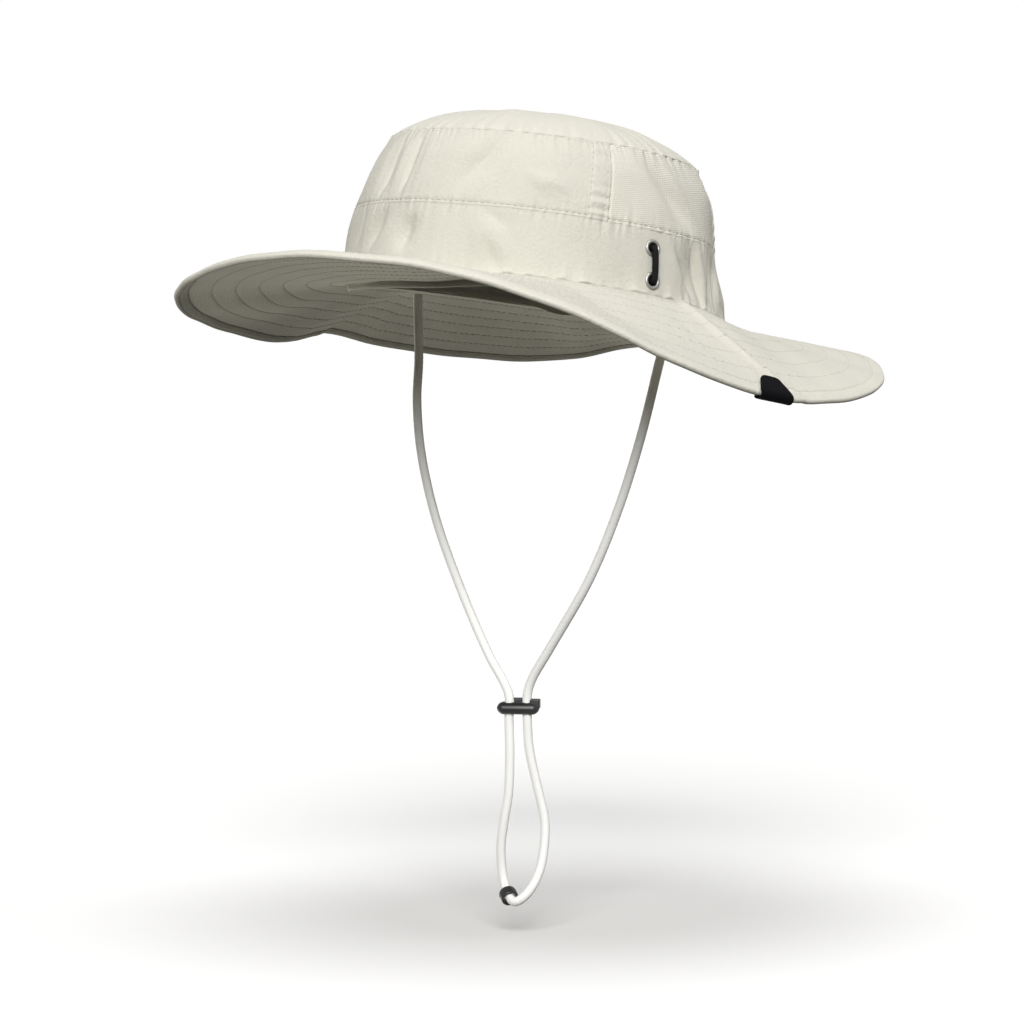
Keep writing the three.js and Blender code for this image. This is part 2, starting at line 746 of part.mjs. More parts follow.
// Bead: a short ring that the cord runs through, turned along the cord.
function cordBead(path) {
  const place = new THREE.Vector3(...beadPoint);
  const samples = path.getSpacedPoints(cordSearchSteps);
  const distances = samples.map((point) => point.distanceTo(place));
  const share = distances.indexOf(Math.min(...distances)) / cordSearchSteps;
  const hole = holeRadius(cordDiameter + 2 * beadClearance);
  const outer = beadDiameter / 2;
  const half = beadLength / 2;
  const profile = [
    [hole, -half],
    [outer - beadEdge, -half],
    [outer, beadEdge - half],
    [outer, half - beadEdge],
    [outer - beadEdge, half],
    [hole, half],
    [hole, -half],
  ].map(([radius, along]) => new THREE.Vector2(radius, along));
  const mesh = namedMesh('cord_bead', new THREE.LatheGeometry(profile, roundSides), 'black');
  mesh.position.copy(path.getPointAt(share));
  mesh.quaternion.setFromUnitVectors(new THREE.Vector3(0, 1, 0), path.getTangentAt(share));
  return mesh;
}

const cord = cordCurve();
const part = new THREE.Group();
part.add(hat);
part.add(namedMesh('chin_cord', tubeAlong(cord, cordDiameter, cordSides, cordSteps), 'cord'));
part.add(cordLock());
part.add(cordBead(cord));

export default part;
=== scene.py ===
"""Looks of a wide-brimmed cloth sun hat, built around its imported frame.

The hat's cloth pieces are shaped over one form, which gives the crown, the brim and their folds in the
hat's own upright position, and tips them back with it. Angles run in degrees from the front, over the
wearer's left ear, to the back. Lengths are in metres.
"""

from __future__ import annotations

import logging
import math
from dataclasses import dataclass
from enum import Enum
from typing import Callable, NamedTuple, Sequence

import bpy
import numpy as np
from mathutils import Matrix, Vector

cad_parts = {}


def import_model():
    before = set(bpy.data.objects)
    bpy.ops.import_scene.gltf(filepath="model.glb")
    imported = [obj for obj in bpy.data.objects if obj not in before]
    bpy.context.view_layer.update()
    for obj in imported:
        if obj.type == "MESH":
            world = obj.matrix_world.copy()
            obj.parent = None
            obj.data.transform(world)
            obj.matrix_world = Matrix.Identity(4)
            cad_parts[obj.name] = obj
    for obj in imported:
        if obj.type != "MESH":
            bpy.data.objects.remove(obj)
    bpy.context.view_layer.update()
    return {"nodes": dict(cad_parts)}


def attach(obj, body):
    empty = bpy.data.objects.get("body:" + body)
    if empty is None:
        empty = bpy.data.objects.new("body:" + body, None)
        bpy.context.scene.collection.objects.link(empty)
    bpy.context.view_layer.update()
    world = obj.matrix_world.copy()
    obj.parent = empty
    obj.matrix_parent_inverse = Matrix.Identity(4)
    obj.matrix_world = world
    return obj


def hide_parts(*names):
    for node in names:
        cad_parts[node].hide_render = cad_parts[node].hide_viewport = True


MM = 0.001
BODY = "root"
LOG = logging.getLogger("sun_hat")

Array = np.ndarray
Place = Callable[[Array, Array], Array]
Piece = bpy.types.Object
Material = bpy.types.Material
Socket = bpy.types.NodeSocket


class Ear(Enum):
    """The two sides of the hat, by the angle of the eyelets over the wearer's ear."""

    LEFT = 88.0
    RIGHT = 272.0


class Weave(Enum):
    """How a cloth is made."""

    PLAIN = "plain"
    VENT_MESH = "vent mesh"
    KNIT = "knit"
    BRAID = "braid"


class ProfileRow(NamedTuple):
    """Reach of the crown at a height, as shares of its height and of the opening's half size."""

    height: float
    reach: float


class FoldRow(NamedTuple):
    """A broad fold of the crown, with heights as shares of its height and depth of the fold depth."""

    angle: float
    lean: float
    spread: float
    low: float
    high: float
    depth: float


class BrimRow(NamedTuple):
    """Heights of the brim's edge and inner ring, as shares of its width and of the seam's lift."""

    angle: float
    edge: float
    seam: float


class BrimFold(NamedTuple):
    """A fold of the brim, with its depth as a share of the brim's fold depth."""

    angle: float
    lean: float
    spread: float
    depth: float
    crease: float


class Crease(NamedTuple):
    """A narrow crease of the crown between two points, in degrees and millimetres."""

    low_angle: float
    low_height: float
    high_angle: float
    high_height: float
    width: float
    depth: float


class BrimCrease(NamedTuple):
    """A crisp fold of the brim between two points, in degrees, shares of its width and millimetres."""

    start_angle: float
    start_share: float
    end_angle: float
    end_share: float
    width: float
    rise: float
    bow: float


class HemCurl(NamedTuple):
    """How far the brim's hem curls down at an angle, in degrees."""

    angle: float
    bend: float


class PanelCut(NamedTuple):
    """A side panel of the crown, whose seams stand at one angle at the band and one at the tip."""

    name: str
    band_start: float
    tip_start: float
    band_end: float
    tip_end: float
    mesh: bool


CROWN_PROFILE = tuple(ProfileRow(*row) for row in (
    (-0.1, 1.0), (0.0, 1.0), (0.45, 0.964), (0.79, 0.893), (1.0, 0.806),
))

PANEL_CUTS = (
    PanelCut("front_panel", -72.5, -75.5, 72.5, 75.5, False),
    PanelCut("mesh_panel_left", 72.5, 75.5, 130, 132, True),
    PanelCut("back_panel", 130, 132, 230, 228, False),
    PanelCut("mesh_panel_right", 230, 228, 287.5, 284.5, True),
)

CROWN_FOLDS = tuple(FoldRow(*row) for row in (
    (-7, 1, 6, 0.46, 1, -0.75), (4, 2, 6, 0.46, 1, -0.7), (25, 14, 9, 0.5, 1, -0.6),
    (62, -12, 8, 0.5, 0.75, 0.6), (-8, 8, 6, 0.1, 0.45, -0.7), (8, 4, 6, 0.1, 0.4, -0.6),
    (40, -4, 8, 0.05, 0.45, 0.5), (110, -8, 7, 0, 0.5, -1), (121, 2, 7, 0, 0.5, -0.8),
    (106, -17, 8, 0.48, 1, -0.8), (150, 6, 9, 0.1, 0.9, -0.4), (185, -8, 9, 0.2, 1, -0.6),
    (215, 10, 9, 0, 0.6, -0.7), (252, 14, 8, 0.48, 1, -0.8), (290, -4, 7, 0, 0.5, -0.7),
    (318, -10, 9, 0.5, 1, -0.6), (138, 0, 24, 0.1, 0.82, -1.25), (318, 0, 30, 0.3, 1.4, -0.8),
))

BRIM_ROWS = tuple(BrimRow(*row) for row in (
    (0, -0.072, -0.52), (14, -0.042, -0.5), (23, -0.049, -0.42), (32, -0.067, -0.2), (41, -0.113, -0.05),
    (50, -0.18, 0), (57, -0.25, 0), (64, -0.33, 0), (70, -0.405, 0), (76, -0.455, 0), (84, -0.503, 0),
    (92, -0.525, 0), (100, -0.525, -0.03), (108, -0.493, -0.08), (116, -0.443, -0.17), (124, -0.372, -0.3),
    (132, -0.285, -0.42), (140, -0.205, -0.4), (146, -0.14, -0.25), (153, -0.072, 0), (160, -0.022, 0.24),
    (170, 0.022, 0.47), (181, 0.062, 0.62), (192, 0.09, 0.77), (203, 0.082, 0.9), (209, 0.04, 0.95),
    (215, -0.008, 0.98), (222, -0.092, 1), (230, -0.145, 1.08), (240, -0.171, 1.12), (250, -0.184, 1.12),
    (260, -0.176, 1.06), (268, -0.155, 0.98), (272, -0.19, 0.92), (277, -0.246, 0.84), (284, -0.291, 0.68),
    (294, -0.288, 0.46), (306, -0.275, 0.12), (316, -0.254, -0.15), (328, -0.205, -0.38),
    (340, -0.155, -0.5), (350, -0.11, -0.54),
))

BRIM_FOLDS = (
    BrimFold(106, -8, 13, 0.35, 0.3),
    BrimFold(114, -4, 12, -0.35, 0),
    BrimFold(270, 0, 9, 0.15, 0.6),
    BrimFold(60, 8, 12, -0.5, 0.2),
    BrimFold(300, 6, 16, -0.7, 0),
    BrimFold(215, 0, 14, -0.5, 0),
)

CROWN_CREASES = tuple(Crease(*row) for row in (
    (-7, 36, -6, 75, 3.6, -1.5), (4, 35, 5, 74, 3.4, -1.5), (25, 42, 39, 76, 7, -1.3),
    (52, 48, 64, 42, 7, -1.3), (-8, 10, 0, 34, 4.5, -1.3), (8, 9, 12, 30, 5, -1.1),
    (-17, 14, -12, 33, 5, -1), (36, 32, 43, 24.5, 6, -1), (37, 19, 41, 2, 6, -1.1),
    (97, 30, 108, 3, 4.5, -2.2), (106, 36, 112, 1, 4, -2.2), (118, 34, 116, 2, 4.5, -2),
    (126, 30, 121, 3, 5, -1.3), (106, 38, 89, 74, 7, -1.3), (-28, 40, -24, 70, 7, -0.8),
    (-40, 6, -36, 30, 7, -0.8), (150, 12, 156, 60, 8, -0.4), (172, 40, 166, 73, 7, -0.9),
    (205, 8, 214, 34, 7, -0.9), (240, 40, 252, 73, 8, -0.9), (262, 6, 258, 30, 6, -0.9),
    (300, 8, 306, 32, 7, -0.8), (322, 40, 310, 72, 8, -0.9),
))

BRIM_CREASES = (
    BrimCrease(102, -0.1, 101.3, 0.98, 7, 2.2, -6.3),
    BrimCrease(93, 0.1, 91, 0.8, 10, -0.5, -6),
    BrimCrease(271, 0, 270, 1.1, 6, 0.9, 0),
    BrimCrease(279, 0.05, 278, 0.95, 11, -0.7, 0),
    BrimCrease(264, 0.05, 262, 0.9, 8, -0.7, 0),
    BrimCrease(60, 0.05, 66, 0.7, 12, -0.5, 0),
)

HEM_CURLS = tuple(HemCurl(*row) for row in (
    (0, 42), (45, 42), (60, 28), (75, 12), (100, 8), (180, 6), (260, 2), (290, 2), (306, 10), (320, 26),
    (340, 40),
))

EYELET_SHARES = (0.26, 0.74)

CORD_ROUTE = (
    (0.0872, 0.0118, -0.014), (0.0828, 0.0098, -0.032), (0.0742, 0.0061, -0.0674),
    (0.062, 0.0023, -0.1041), (0.0442, -0.0014, -0.1415), (0.0173, -0.0052, -0.1799),
    (0.0064, -0.0073, -0.196), (0.0037, -0.0079, -0.204), (0.0037, -0.0079, -0.218),
    (0.004, -0.0069, -0.232), (0.0064, -0.004, -0.25), (0.0096, -0.001, -0.27), (0.0103, -0.0022, -0.284),
    (0.0102, -0.005, -0.295), (0.0094, -0.0096, -0.3034), (0.007, -0.0138, -0.309),
    (0.0037, -0.016, -0.3114), (0.0004, -0.016, -0.3109), (-0.0068, -0.0133, -0.3066),
    (-0.0091, -0.0129, -0.3024), (-0.0099, -0.0135, -0.2955), (-0.009, -0.015, -0.284),
    (-0.0065, -0.0152, -0.271), (-0.0039, -0.0144, -0.256), (-0.0032, -0.014, -0.236),
    (-0.0037, -0.0141, -0.218), (-0.0037, -0.0141, -0.2045), (-0.0082, -0.0139, -0.1975),
    (-0.0202, -0.013, -0.185), (-0.0463, -0.011, -0.1495), (-0.0684, -0.0091, -0.113),
    (-0.082, -0.0073, -0.079), (-0.0866, -0.0061, -0.052), (-0.0866, -0.0048, -0.03),
    (-0.088, -0.0039, -0.012),
)


def through(places: Sequence[float], values: Sequence[float], at: Array, period: float = 0) -> Array:
    """Reads a smooth curve through a table's rows.

    Args:
        places: Where each row stands.
        values: What each row holds.
        at: Where the curve is read.
        period: Length of one turn where the table runs round in a ring, else 0.

    Returns:
        The curve's values.
    """
    x = np.asarray(places, float)
    y = np.asarray(values, float)
    if period:
        x = np.concatenate([x[-2:] - period, x, x[:3] + period])
        y = np.concatenate([y[-2:], y, y[:3]])
        at = np.mod(at, period)
    else:
        x = np.concatenate([x[:1], x, x[-1:]])
        y = np.concatenate([y[:1], y, y[-1:]])
    row = np.clip(np.searchsorted(x, at, side="right") - 1, 1, len(x) - 3)
    span = x[row + 1] - x[row]
    share = np.clip((at - x[row]) / span, 0, 1)
    slope_here = (y[row + 1] - y[row - 1]) / (x[row + 1] - x[row - 1]) * span
    slope_next = (y[row + 2] - y[row]) / (x[row + 2] - x[row]) * span
    square = share * share
    cube = square * share
    return ((2 * cube - 3 * square + 1) * y[row] + (cube - 2 * square + share) * slope_here
            + (3 * square - 2 * cube) * y[row + 1] + (cube - square) * slope_next)


def round_table(rows: Sequence[NamedTuple], field: str, angle: Array) -> Array:
    """Reads one column of a table that runs round the hat."""
    return through([row.angle for row in rows], [getattr(row, field) for row in rows], angle, 360)


def turn_between(start: float | Array, end: Array) -> Array:
    """Returns the shortest way round from one angle to another, in degrees."""
    return np.mod(end - start + 180, 360) - 180


def fold_shape(across: Array, crease: float = 0) -> Array:
    """Gives the height of a fold across its width.

    Args:
        across: Distance from the fold's middle as a share of half its width.
        crease: How sharp its middle line is, from 0, round, to 1, a crease.

    Returns:
        1 in the middle and 0 past both sides.
    """
    inside = np.clip(1 - np.abs(across), 0, 1)
    soft = (inside * (2 - inside)) ** 2
    return soft * (1 - crease) + inside ** 2 * crease


def step_between(value: Array, low: float, high: float) -> Array:
    """Rises smoothly from 0 at low to 1 at high."""
    share = np.clip((value - low) / (high - low), 0, 1)
    return share * share * (3 - 2 * share)


def ripples(angle: Array, slowest: int, fastest: int, seed: int) -> Array:
    """Gives an uneven wave round the hat, which closes on itself.

    Args:
        angle: Angles round the hat, in degrees.
        slowest: Fewest waves in a turn.
        fastest: Most waves in a turn.
        seed: Seed of the wave's phases.

    Returns:
        Heights mostly between -1 and 1.
    """
    waves = np.arange(slowest, fastest + 1)
    phases = np.random.default_rng(seed).uniform(0, 2 * math.pi, len(waves))
    total = np.zeros_like(angle, dtype=float)
    for wave, phase in zip(waves, phases):
        total += np.cos(np.radians(angle) * wave + phase)
    return total * math.sqrt(2 / len(waves)) / 2


def rumple(angle: Array, height: Array, size: float, seed: int) -> Array:
    """Gives the low uneven swells of soft cloth.

    Args:
        angle: Angles round the hat, in degrees.
        height: Heights or distances across the cloth.
        size: Length of a swell round the crown.
        seed: Seed of the swells' phases and directions.

    Returns:
        Heights mostly between -1 and 1.
    """
    rng = np.random.default_rng(seed)
    turn = 0.6
    total = np.zeros_like(angle, dtype=float)
    count = 14
    for _ in range(count):
        waves = round(turn / size * rng.uniform(0.5, 1.3))
        slope = rng.normal(0, 0.7) * 2 * math.pi / size
        total += np.cos(np.radians(angle) * waves + slope * height + rng.uniform(0, 2 * math.pi))
    return total / math.sqrt(count)


@dataclass(frozen=True)
class HatForm:
    """The form that every cloth piece of the hat is shaped over."""

    opening_length: float = 213 * MM
    opening_width: float = 182 * MM
    pitch: float = 8.0
    crown_height: float = 76 * MM
    band_height: float = 34.5 * MM
    crown_lean: float = 3 * MM
    dome_rise: float = 18.9 * MM
    dome_fullness: float = 3.3
    tip_back_rise: float = 1.5 * MM
    wall: float = 1.2 * MM
    seam_gap: float = 0.3 * MM
    fold_depth: float = 3.2 * MM
    brim_width: float = 86 * MM
    brim_back_shift: float = 1.7 * MM
    brim_thickness: float = 2.2 * MM
    brim_curve: float = 1.25
    seam_lift: float = 8 * MM
    brim_fold_depth: float = 4 * MM
    curl_width: float = 6.5 * MM
    calm_start: float = 4.0
    calm_end: float = 10.0

    @property
    def around(self) -> float:
        """Returns the length of one degree round the opening."""
        return (self.opening_length + self.opening_width) * math.pi / 4 / 180

    def tipped(self, points: Array) -> Array:
        """Tips points of the upright hat back to where the frame has them.

        Args:
            points: Points of the upright hat.

        Returns:
            The points, tipped.
        """
        turn = -math.radians(self.pitch)
        x, y, z = points[..., 0], points[..., 1], points[..., 2]
        return np.stack([x, y * math.cos(turn) - z * math.sin(turn),
                         y * math.sin(turn) + z * math.cos(turn)], -1)

    def oval(self, angle: Array, reach: Array, inset: Array, height: Array) -> Array:
        """Gives points on the opening's oval.

        Args:
            angle: Angles round the hat.
            reach: Scale of the oval's half sizes.
            inset: Length cut off them.
            height: Heights of the points.

        Returns:
            The points, upright.
        """
        turn = np.radians(angle)
        x = np.sin(turn) * (self.opening_width / 2 * reach - inset)
        y = -np.cos(turn) * (self.opening_length / 2 * reach - inset)
        return np.stack(np.broadcast_arrays(x, y, height), -1)

    def seam_height(self, angle: Array) -> Array:
        """Returns the height of the brim's inner ring."""
        return self.seam_lift * round_table(BRIM_ROWS, "seam", angle)

    def tip_height(self, angle: Array) -> Array:
        """Returns the height of the seam between the panels and the tip."""
        return self.crown_height - self.tip_back_rise * np.cos(np.radians(angle))

    def crown_base(self, angle: Array, height: Array) -> Array:
        """Gives the crown's outer face before its folds.

        Args:
            angle: Angles round the hat, in degrees.
            height: Heights on the upright hat.

        Returns:
            Its points, upright.
        """
        share = height / self.crown_height
        reach = through([row.height for row in CROWN_PROFILE], [row.reach for row in CROWN_PROFILE], share)
        points = self.oval(angle, reach, 0, height)
        points[..., 1] -= self.crown_lean * np.maximum(share, 0)
        return points

    def crown_normal(self, angle: Array, height: Array) -> Array:
        """Returns the direction out of the crown's face.

        Args:
            angle: Angles round the hat, in degrees.
            height: Heights on the upright hat.

        Returns:
            Directions of length 1.
        """
        along = self.crown_base(angle + 0.5, height) - self.crown_base(angle - 0.5, height)
        rise = self.crown_base(angle, height + 0.5 * MM) - self.crown_base(angle, height - 0.5 * MM)
        return unit(np.cross(along, rise))

    def crown_fold(self, angle: Array, height: Array) -> Array:
        """Returns how far the broad folds lift the crown's face.

        Args:
            angle: Angles round the hat, in degrees.
            height: Heights on the upright hat.

        Returns:
            The lifts.
        """
        share = height / self.crown_height
        depth = np.zeros(np.broadcast(angle, height).shape)
        for fold in CROWN_FOLDS:
            along = (share - fold.low) / (fold.high - fold.low)
            across = turn_between(fold.angle + fold.lean * along, angle) / fold.spread
            depth += fold.depth * fold_shape(across) * fold_shape(2 * along - 1)
        return self.fold_depth * depth * self.calm(angle, height)

    def calm(self, angle: Array, height: Array) -> Array:
        """Returns 0 where the cloth lies flat round the eyelets, and 1 away from them."""
        nearest = np.minimum(*(np.abs(turn_between(ear.value, angle)) for ear in Ear))
        return np.where(height < self.band_height, step_between(nearest, self.calm_start, self.calm_end), 1)

    def crown_point(self, angle: Array, height: Array, lifted: Array) -> Array:
        """Gives points of the crown's cloth, lifted off its folded outer face."""
        lift = np.asarray(self.crown_fold(angle, height) + lifted)[..., None]
        return self.crown_base(angle, height) + self.crown_normal(angle, height) * lift

    def brim_middle(self, angle: Array, share: Array) -> Array:
        """Gives points of the middle of the brim's thickness.

        Args:
            angle: Angles round the hat.
            share: 0 at the inner ring and 1 at the edge.

        Returns:
            The points, upright.
        """
        angle, share = np.broadcast_arrays(angle, share)
        seam = self.seam_height(angle)
        edge = self.brim_width * round_table(BRIM_ROWS, "edge", angle)
        drop = edge - seam
        reach = np.sqrt(self.brim_width ** 2 - drop ** 2)
        outward = np.maximum(share, 0)
        lift = np.zeros(angle.shape)
        for fold in BRIM_FOLDS:
            across = turn_between(fold.angle + fold.lean * outward, angle) / fold.spread
            lift += fold.depth * fold_shape(across, fold.crease) * fold_shape(2 * outward - 1)
        height = seam + drop * outward ** self.brim_curve + lift * self.brim_fold_depth
        height = height + self.brim_crease(angle, outward)
        bend = np.maximum(np.radians(round_table(HEM_CURLS, "bend", angle)), 0.01)
        walked = np.maximum((share - 1) * self.brim_width + self.curl_width, 0)
        turned = bend * walked / self.curl_width
        shortened = walked - self.curl_width / bend * np.sin(turned)
        height = height - self.curl_width / bend * (1 - np.cos(turned))
        points = self.oval(angle, 1, -(reach * share - shortened), height)
        points[..., 1] += self.brim_back_shift * outward
        return points

    def brim_crease(self, angle: Array, share: Array) -> Array:
        """Returns how far the crisp folds lift the brim.

        Args:
            angle: Angles round the hat, in degrees.
            share: 0 at the inner ring and 1 at the edge.

        Returns:
            The lifts.
        """
        lift = np.zeros(np.broadcast(angle, share).shape)
        inner = (self.opening_length + self.opening_width) / 4
        for crease in BRIM_CREASES:
            along = (share - crease.start_share) / (crease.end_share - crease.start_share)
            bow = 4 * crease.bow * along * (1 - along)
            middle = crease.start_angle + (crease.end_angle - crease.start_angle) * along + bow
            radius = inner + self.brim_width * share
            across = turn_between(middle, angle) * math.pi / 180 * radius / (crease.width * MM)
            ends = step_between(along, -0.05, 0.2) * (1 - step_between(along, 0.85, 1.1))
            lift += crease.rise * MM * fold_shape(across, 0.8) * ends
        return lift

    def brim_normal(self, angle: Array, share: Array) -> Array:
        """Returns the direction up out of the brim.

        Args:
            angle: Angles round the hat, in degrees.
            share: 0 at the inner ring and 1 at the edge.

        Returns:
            Directions of length 1.
        """
        step = 0.008
        share = np.clip(share, step, 1)
        along = self.brim_middle(angle + 0.5, share) - self.brim_middle(angle - 0.5, share)
        outward = self.brim_middle(angle, share) - self.brim_middle(angle, share - step)
        return unit(np.cross(outward, along))

    def brim_point(self, angle: Array, share: Array, lifted: Array) -> Array:
        """Gives points of the brim's cloth, lifted off the middle of its thickness."""
        lift = np.asarray(np.broadcast_to(lifted, np.broadcast(angle, share).shape))[..., None]
        return self.brim_middle(angle, share) + self.brim_normal(angle, share) * lift


def unit(vectors: Array) -> Array:
    """Returns the vectors at length 1."""
    return vectors / np.maximum(np.linalg.norm(vectors, axis=-1, keepdims=True), 1e-12)


def deselect_all() -> None:
    """Leaves nothing selected."""
    bpy.ops.object.select_all(action="DESELECT")


def select_only(piece: Piece) -> None:
    """Selects one piece and makes it the active one.

    Args:
        piece: The piece.
    """
    deselect_all()
    piece.select_set(True)
    bpy.context.view_layer.objects.active = piece


def named(name: str) -> Piece:
    """Names the piece that an operator has just added, and returns it.

    Args:
        name: Its name.

    Returns:
        The piece.
    """
    piece = bpy.context.object
    piece.name = name
    piece.data.name = name
    return piece


def points_of(piece: Piece) -> Array:
    """Returns the piece's points as an array of three columns.

    Args:
        piece: The piece.

    Returns:
        Its points, one row each.
    """
    flat = np.empty(len(piece.data.vertices) * 3)
    piece.data.vertices.foreach_get("co", flat)
    return flat.reshape(-1, 3)


def move_points(piece: Piece, points: Array) -> None:
    """Puts the piece's points where the array says."""
    piece.data.vertices.foreach_set("co", np.ascontiguousarray(points, dtype=float).ravel())
    piece.data.update()


def finish_with(piece: Piece, kind: str, **settings: object) -> None:
    """Adds a modifier to a piece and applies it.

    Args:
        piece: The piece.
        kind: The modifier's type.
        settings: Its settings by name.
    """
    select_only(piece)
    modifier = piece.modifiers.new(kind.title(), kind)
    for name, value in settings.items():
        setattr(modifier, name, value)
    bpy.ops.object.modifier_apply(modifier=modifier.name)


def smooth(piece: Piece, sharpest: float = 180.0) -> None:
    """Shades a piece smooth, with edges sharper than an angle left sharp.

    Args:
        piece: The piece.
        sharpest: The sharpest angle that is smoothed, in degrees.
    """
    select_only(piece)
    if sharpest >= 180:
        bpy.ops.object.shade_smooth()
    else:
        bpy.ops.object.shade_smooth_by_angle(angle=math.radians(sharpest))


def set_uv(piece: Piece, uv: Array) -> None:
    """Gives a piece the UV map that its weave follows, in metres of cloth for each point.

    Args:
        piece: The piece.
        uv: The places on the map, one row for each point.
    """
    mesh = piece.data
    corner_points = np.empty(len(mesh.loops), dtype=np.int64)
    mesh.loops.foreach_get("vertex_index", corner_points)
    layer = mesh.uv_layers.get("cloth") or mesh.uv_layers.new(name="cloth")
    layer.data.foreach_set("uv", np.ascontiguousarray(uv[corner_points], dtype=float).ravel())
    mesh.uv_layers.active = layer


def set_shade(piece: Piece, shade: Array) -> None:
    """Gives a piece the attribute of painted shade in its seams, grooves and hollows, from 0 to 1 for each
    point.
    """
    attribute = piece.data.attributes.new("seam_shade", "FLOAT", "POINT")
    attribute.data.foreach_set("value", np.asarray(shade, dtype=np.float32).ravel())


def ring_wall(name: str, columns: int, section: int, place: Place, uv: Place, shade: Place) -> Piece:
    """Shapes a grid primitive into a ring of cloth, closed round the hat and round its own section.

    Args:
        name: The piece's name.
        columns: Sections round the ring.
        section: Points of each section, from its outer face over the top to its inner face.
        place: Gives the points for angles in degrees and for numbers of points in a section.
        uv: Gives their places on the UV map, likewise.
        shade: Gives how dark their seams are, likewise.

    Returns:
        The ring.
    """
    deselect_all()
    bpy.ops.mesh.primitive_grid_add(x_subdivisions=columns, y_subdivisions=section, size=1)
    piece = named(name)
    flat = points_of(piece)
    angle = (flat[:, 0] + 0.5) * 360
    point = np.rint((flat[:, 1] + 0.5) * section).astype(int) % section
    move_points(piece, place(angle, point))
    set_uv(piece, uv(angle, point))
    set_shade(piece, shade(angle, point))
    close_gaps(piece)
    smooth(piece)
    return piece


def close_gaps(piece: Piece) -> None:
    """Joins points that lie on one another, fills open ends and turns all faces outward.

    Args:
        piece: The piece.
    """
    select_only(piece)
    bpy.ops.object.mode_set(mode="EDIT")
    bpy.ops.mesh.select_all(action="SELECT")
    bpy.ops.mesh.remove_doubles(threshold=1e-6)
    bpy.ops.mesh.select_all(action="DESELECT")
    bpy.ops.mesh.select_non_manifold(extend=False)
    bpy.ops.mesh.fill_holes(sides=0)
    bpy.ops.mesh.select_all(action="SELECT")
    bpy.ops.mesh.normals_make_consistent(inside=False)
    bpy.ops.object.mode_set(mode="OBJECT")


def cloth_patch(name: str, columns: int, rows: int, place: Place) -> Piece:
    """Shapes a grid primitive into a patch of cloth.

    Args:
        name: The piece's name.
        columns: Faces across the patch.
        rows: Faces up the patch.
        place: Gives the points for shares across and up, both from 0 to 1.

    Returns:
        The patch, with its two shares kept as its UV map.
    """
    deselect_all()
    bpy.ops.mesh.primitive_grid_add(x_subdivisions=columns, y_subdivisions=rows, size=1)
    piece = named(name)
    flat = points_of(piece)
    across, up = flat[:, 0] + 0.5, flat[:, 1] + 0.5
    move_points(piece, place(across, up))
    set_uv(piece, np.stack([across, up], -1))
    smooth(piece)
    return piece


def walked_along(path: Array) -> Array:
    """Returns the length walked to each place of a path."""
    return np.append(0, np.cumsum(np.linalg.norm(np.diff(path, axis=0), axis=1)))


def follow_curve(points: Sequence[Sequence[float]], steps: int) -> Array:
    """Draws the centripetal curve through points, at even steps.

    Args:
        points: What the curve goes through.
        steps: Number of stretches between the places that are returned.

    Returns:
        Places on the curve, one row each.
    """
    p = np.asarray(points, float)
    p = np.vstack([2 * p[0] - p[1], p, 2 * p[-1] - p[-2]])
    dense = []
    fine = 40
    for a, b, c, d in zip(p[:-3], p[1:-2], p[2:-1], p[3:]):
        t1, t2, t3 = np.cumsum([math.sqrt(np.linalg.norm(v)) for v in (b - a, c - b, d - c)])
        t = np.linspace(t1, t2, fine, endpoint=False)[:, None]
        ab = (a * (t1 - t) + b * t) / t1
        bc = (b * (t2 - t) + c * (t - t1)) / (t2 - t1)
        cd = (c * (t3 - t) + d * (t - t2)) / (t3 - t2)
        abc = (ab * (t2 - t) + bc * t) / t2
        bcd = (bc * (t3 - t) + cd * (t - t1)) / (t3 - t1)
        dense.append((abc * (t2 - t) + bcd * (t - t1)) / (t2 - t1))
    line = np.vstack([*dense, p[-2]])
    walked = walked_along(line)
    at = np.linspace(0, walked[-1], steps + 1)
    return np.stack([np.interp(at, walked, line[:, axis]) for axis in range(3)], -1)


def carried_frames(path: Array) -> tuple[Array, Array]:
    """Carries two crosswise directions along a path without twisting them.

    Args:
        path: The path's places.

    Returns:
        The two directions at each place.
    """
    tangents = unit(np.gradient(path, axis=0))
    side = unit(np.cross(tangents[0], (0.31, 0.92, 0.24)))
    sides = []
    for tangent in tangents:
        side = unit(side - tangent * (side @ tangent))
        sides.append(side)
    return np.array(sides), np.cross(tangents, np.array(sides))


def soft_tube(name: str, path: Array, radius: Place | float, sides: int) -> Piece:
    """Shapes a grid primitive into a tube along a path, closed at both ends.

    Args:
        name: The piece's name.
        path: The places that it follows.
        radius: Its radius, or a function of the length walked and the turn round it.
        sides: Faces round it.

    Returns:
        The tube, with the length along it and round it as its UV map.
    """
    side, other = carried_frames(path)
    walked = walked_along(path)
    steps = len(path) - 1
    deselect_all()
    bpy.ops.mesh.primitive_grid_add(x_subdivisions=steps, y_subdivisions=sides, size=1)
    piece = named(name)
    flat = points_of(piece)
    row = np.rint((flat[:, 0] + 0.5) * steps).astype(int)
    turn = (flat[:, 1] + 0.5) * 2 * math.pi
    reach = radius(walked[row], turn) if callable(radius) else np.full(len(row), radius)
    out = side[row] * np.cos(turn)[:, None] + other[row] * np.sin(turn)[:, None]
    move_points(piece, path[row] + out * reach[:, None])
    round_length = 2 * math.pi * float(np.mean(reach))
    set_uv(piece, np.stack([walked[row], turn / (2 * math.pi) * round_length], -1))
    close_gaps(piece)
    smooth(piece, 60)
    return piece


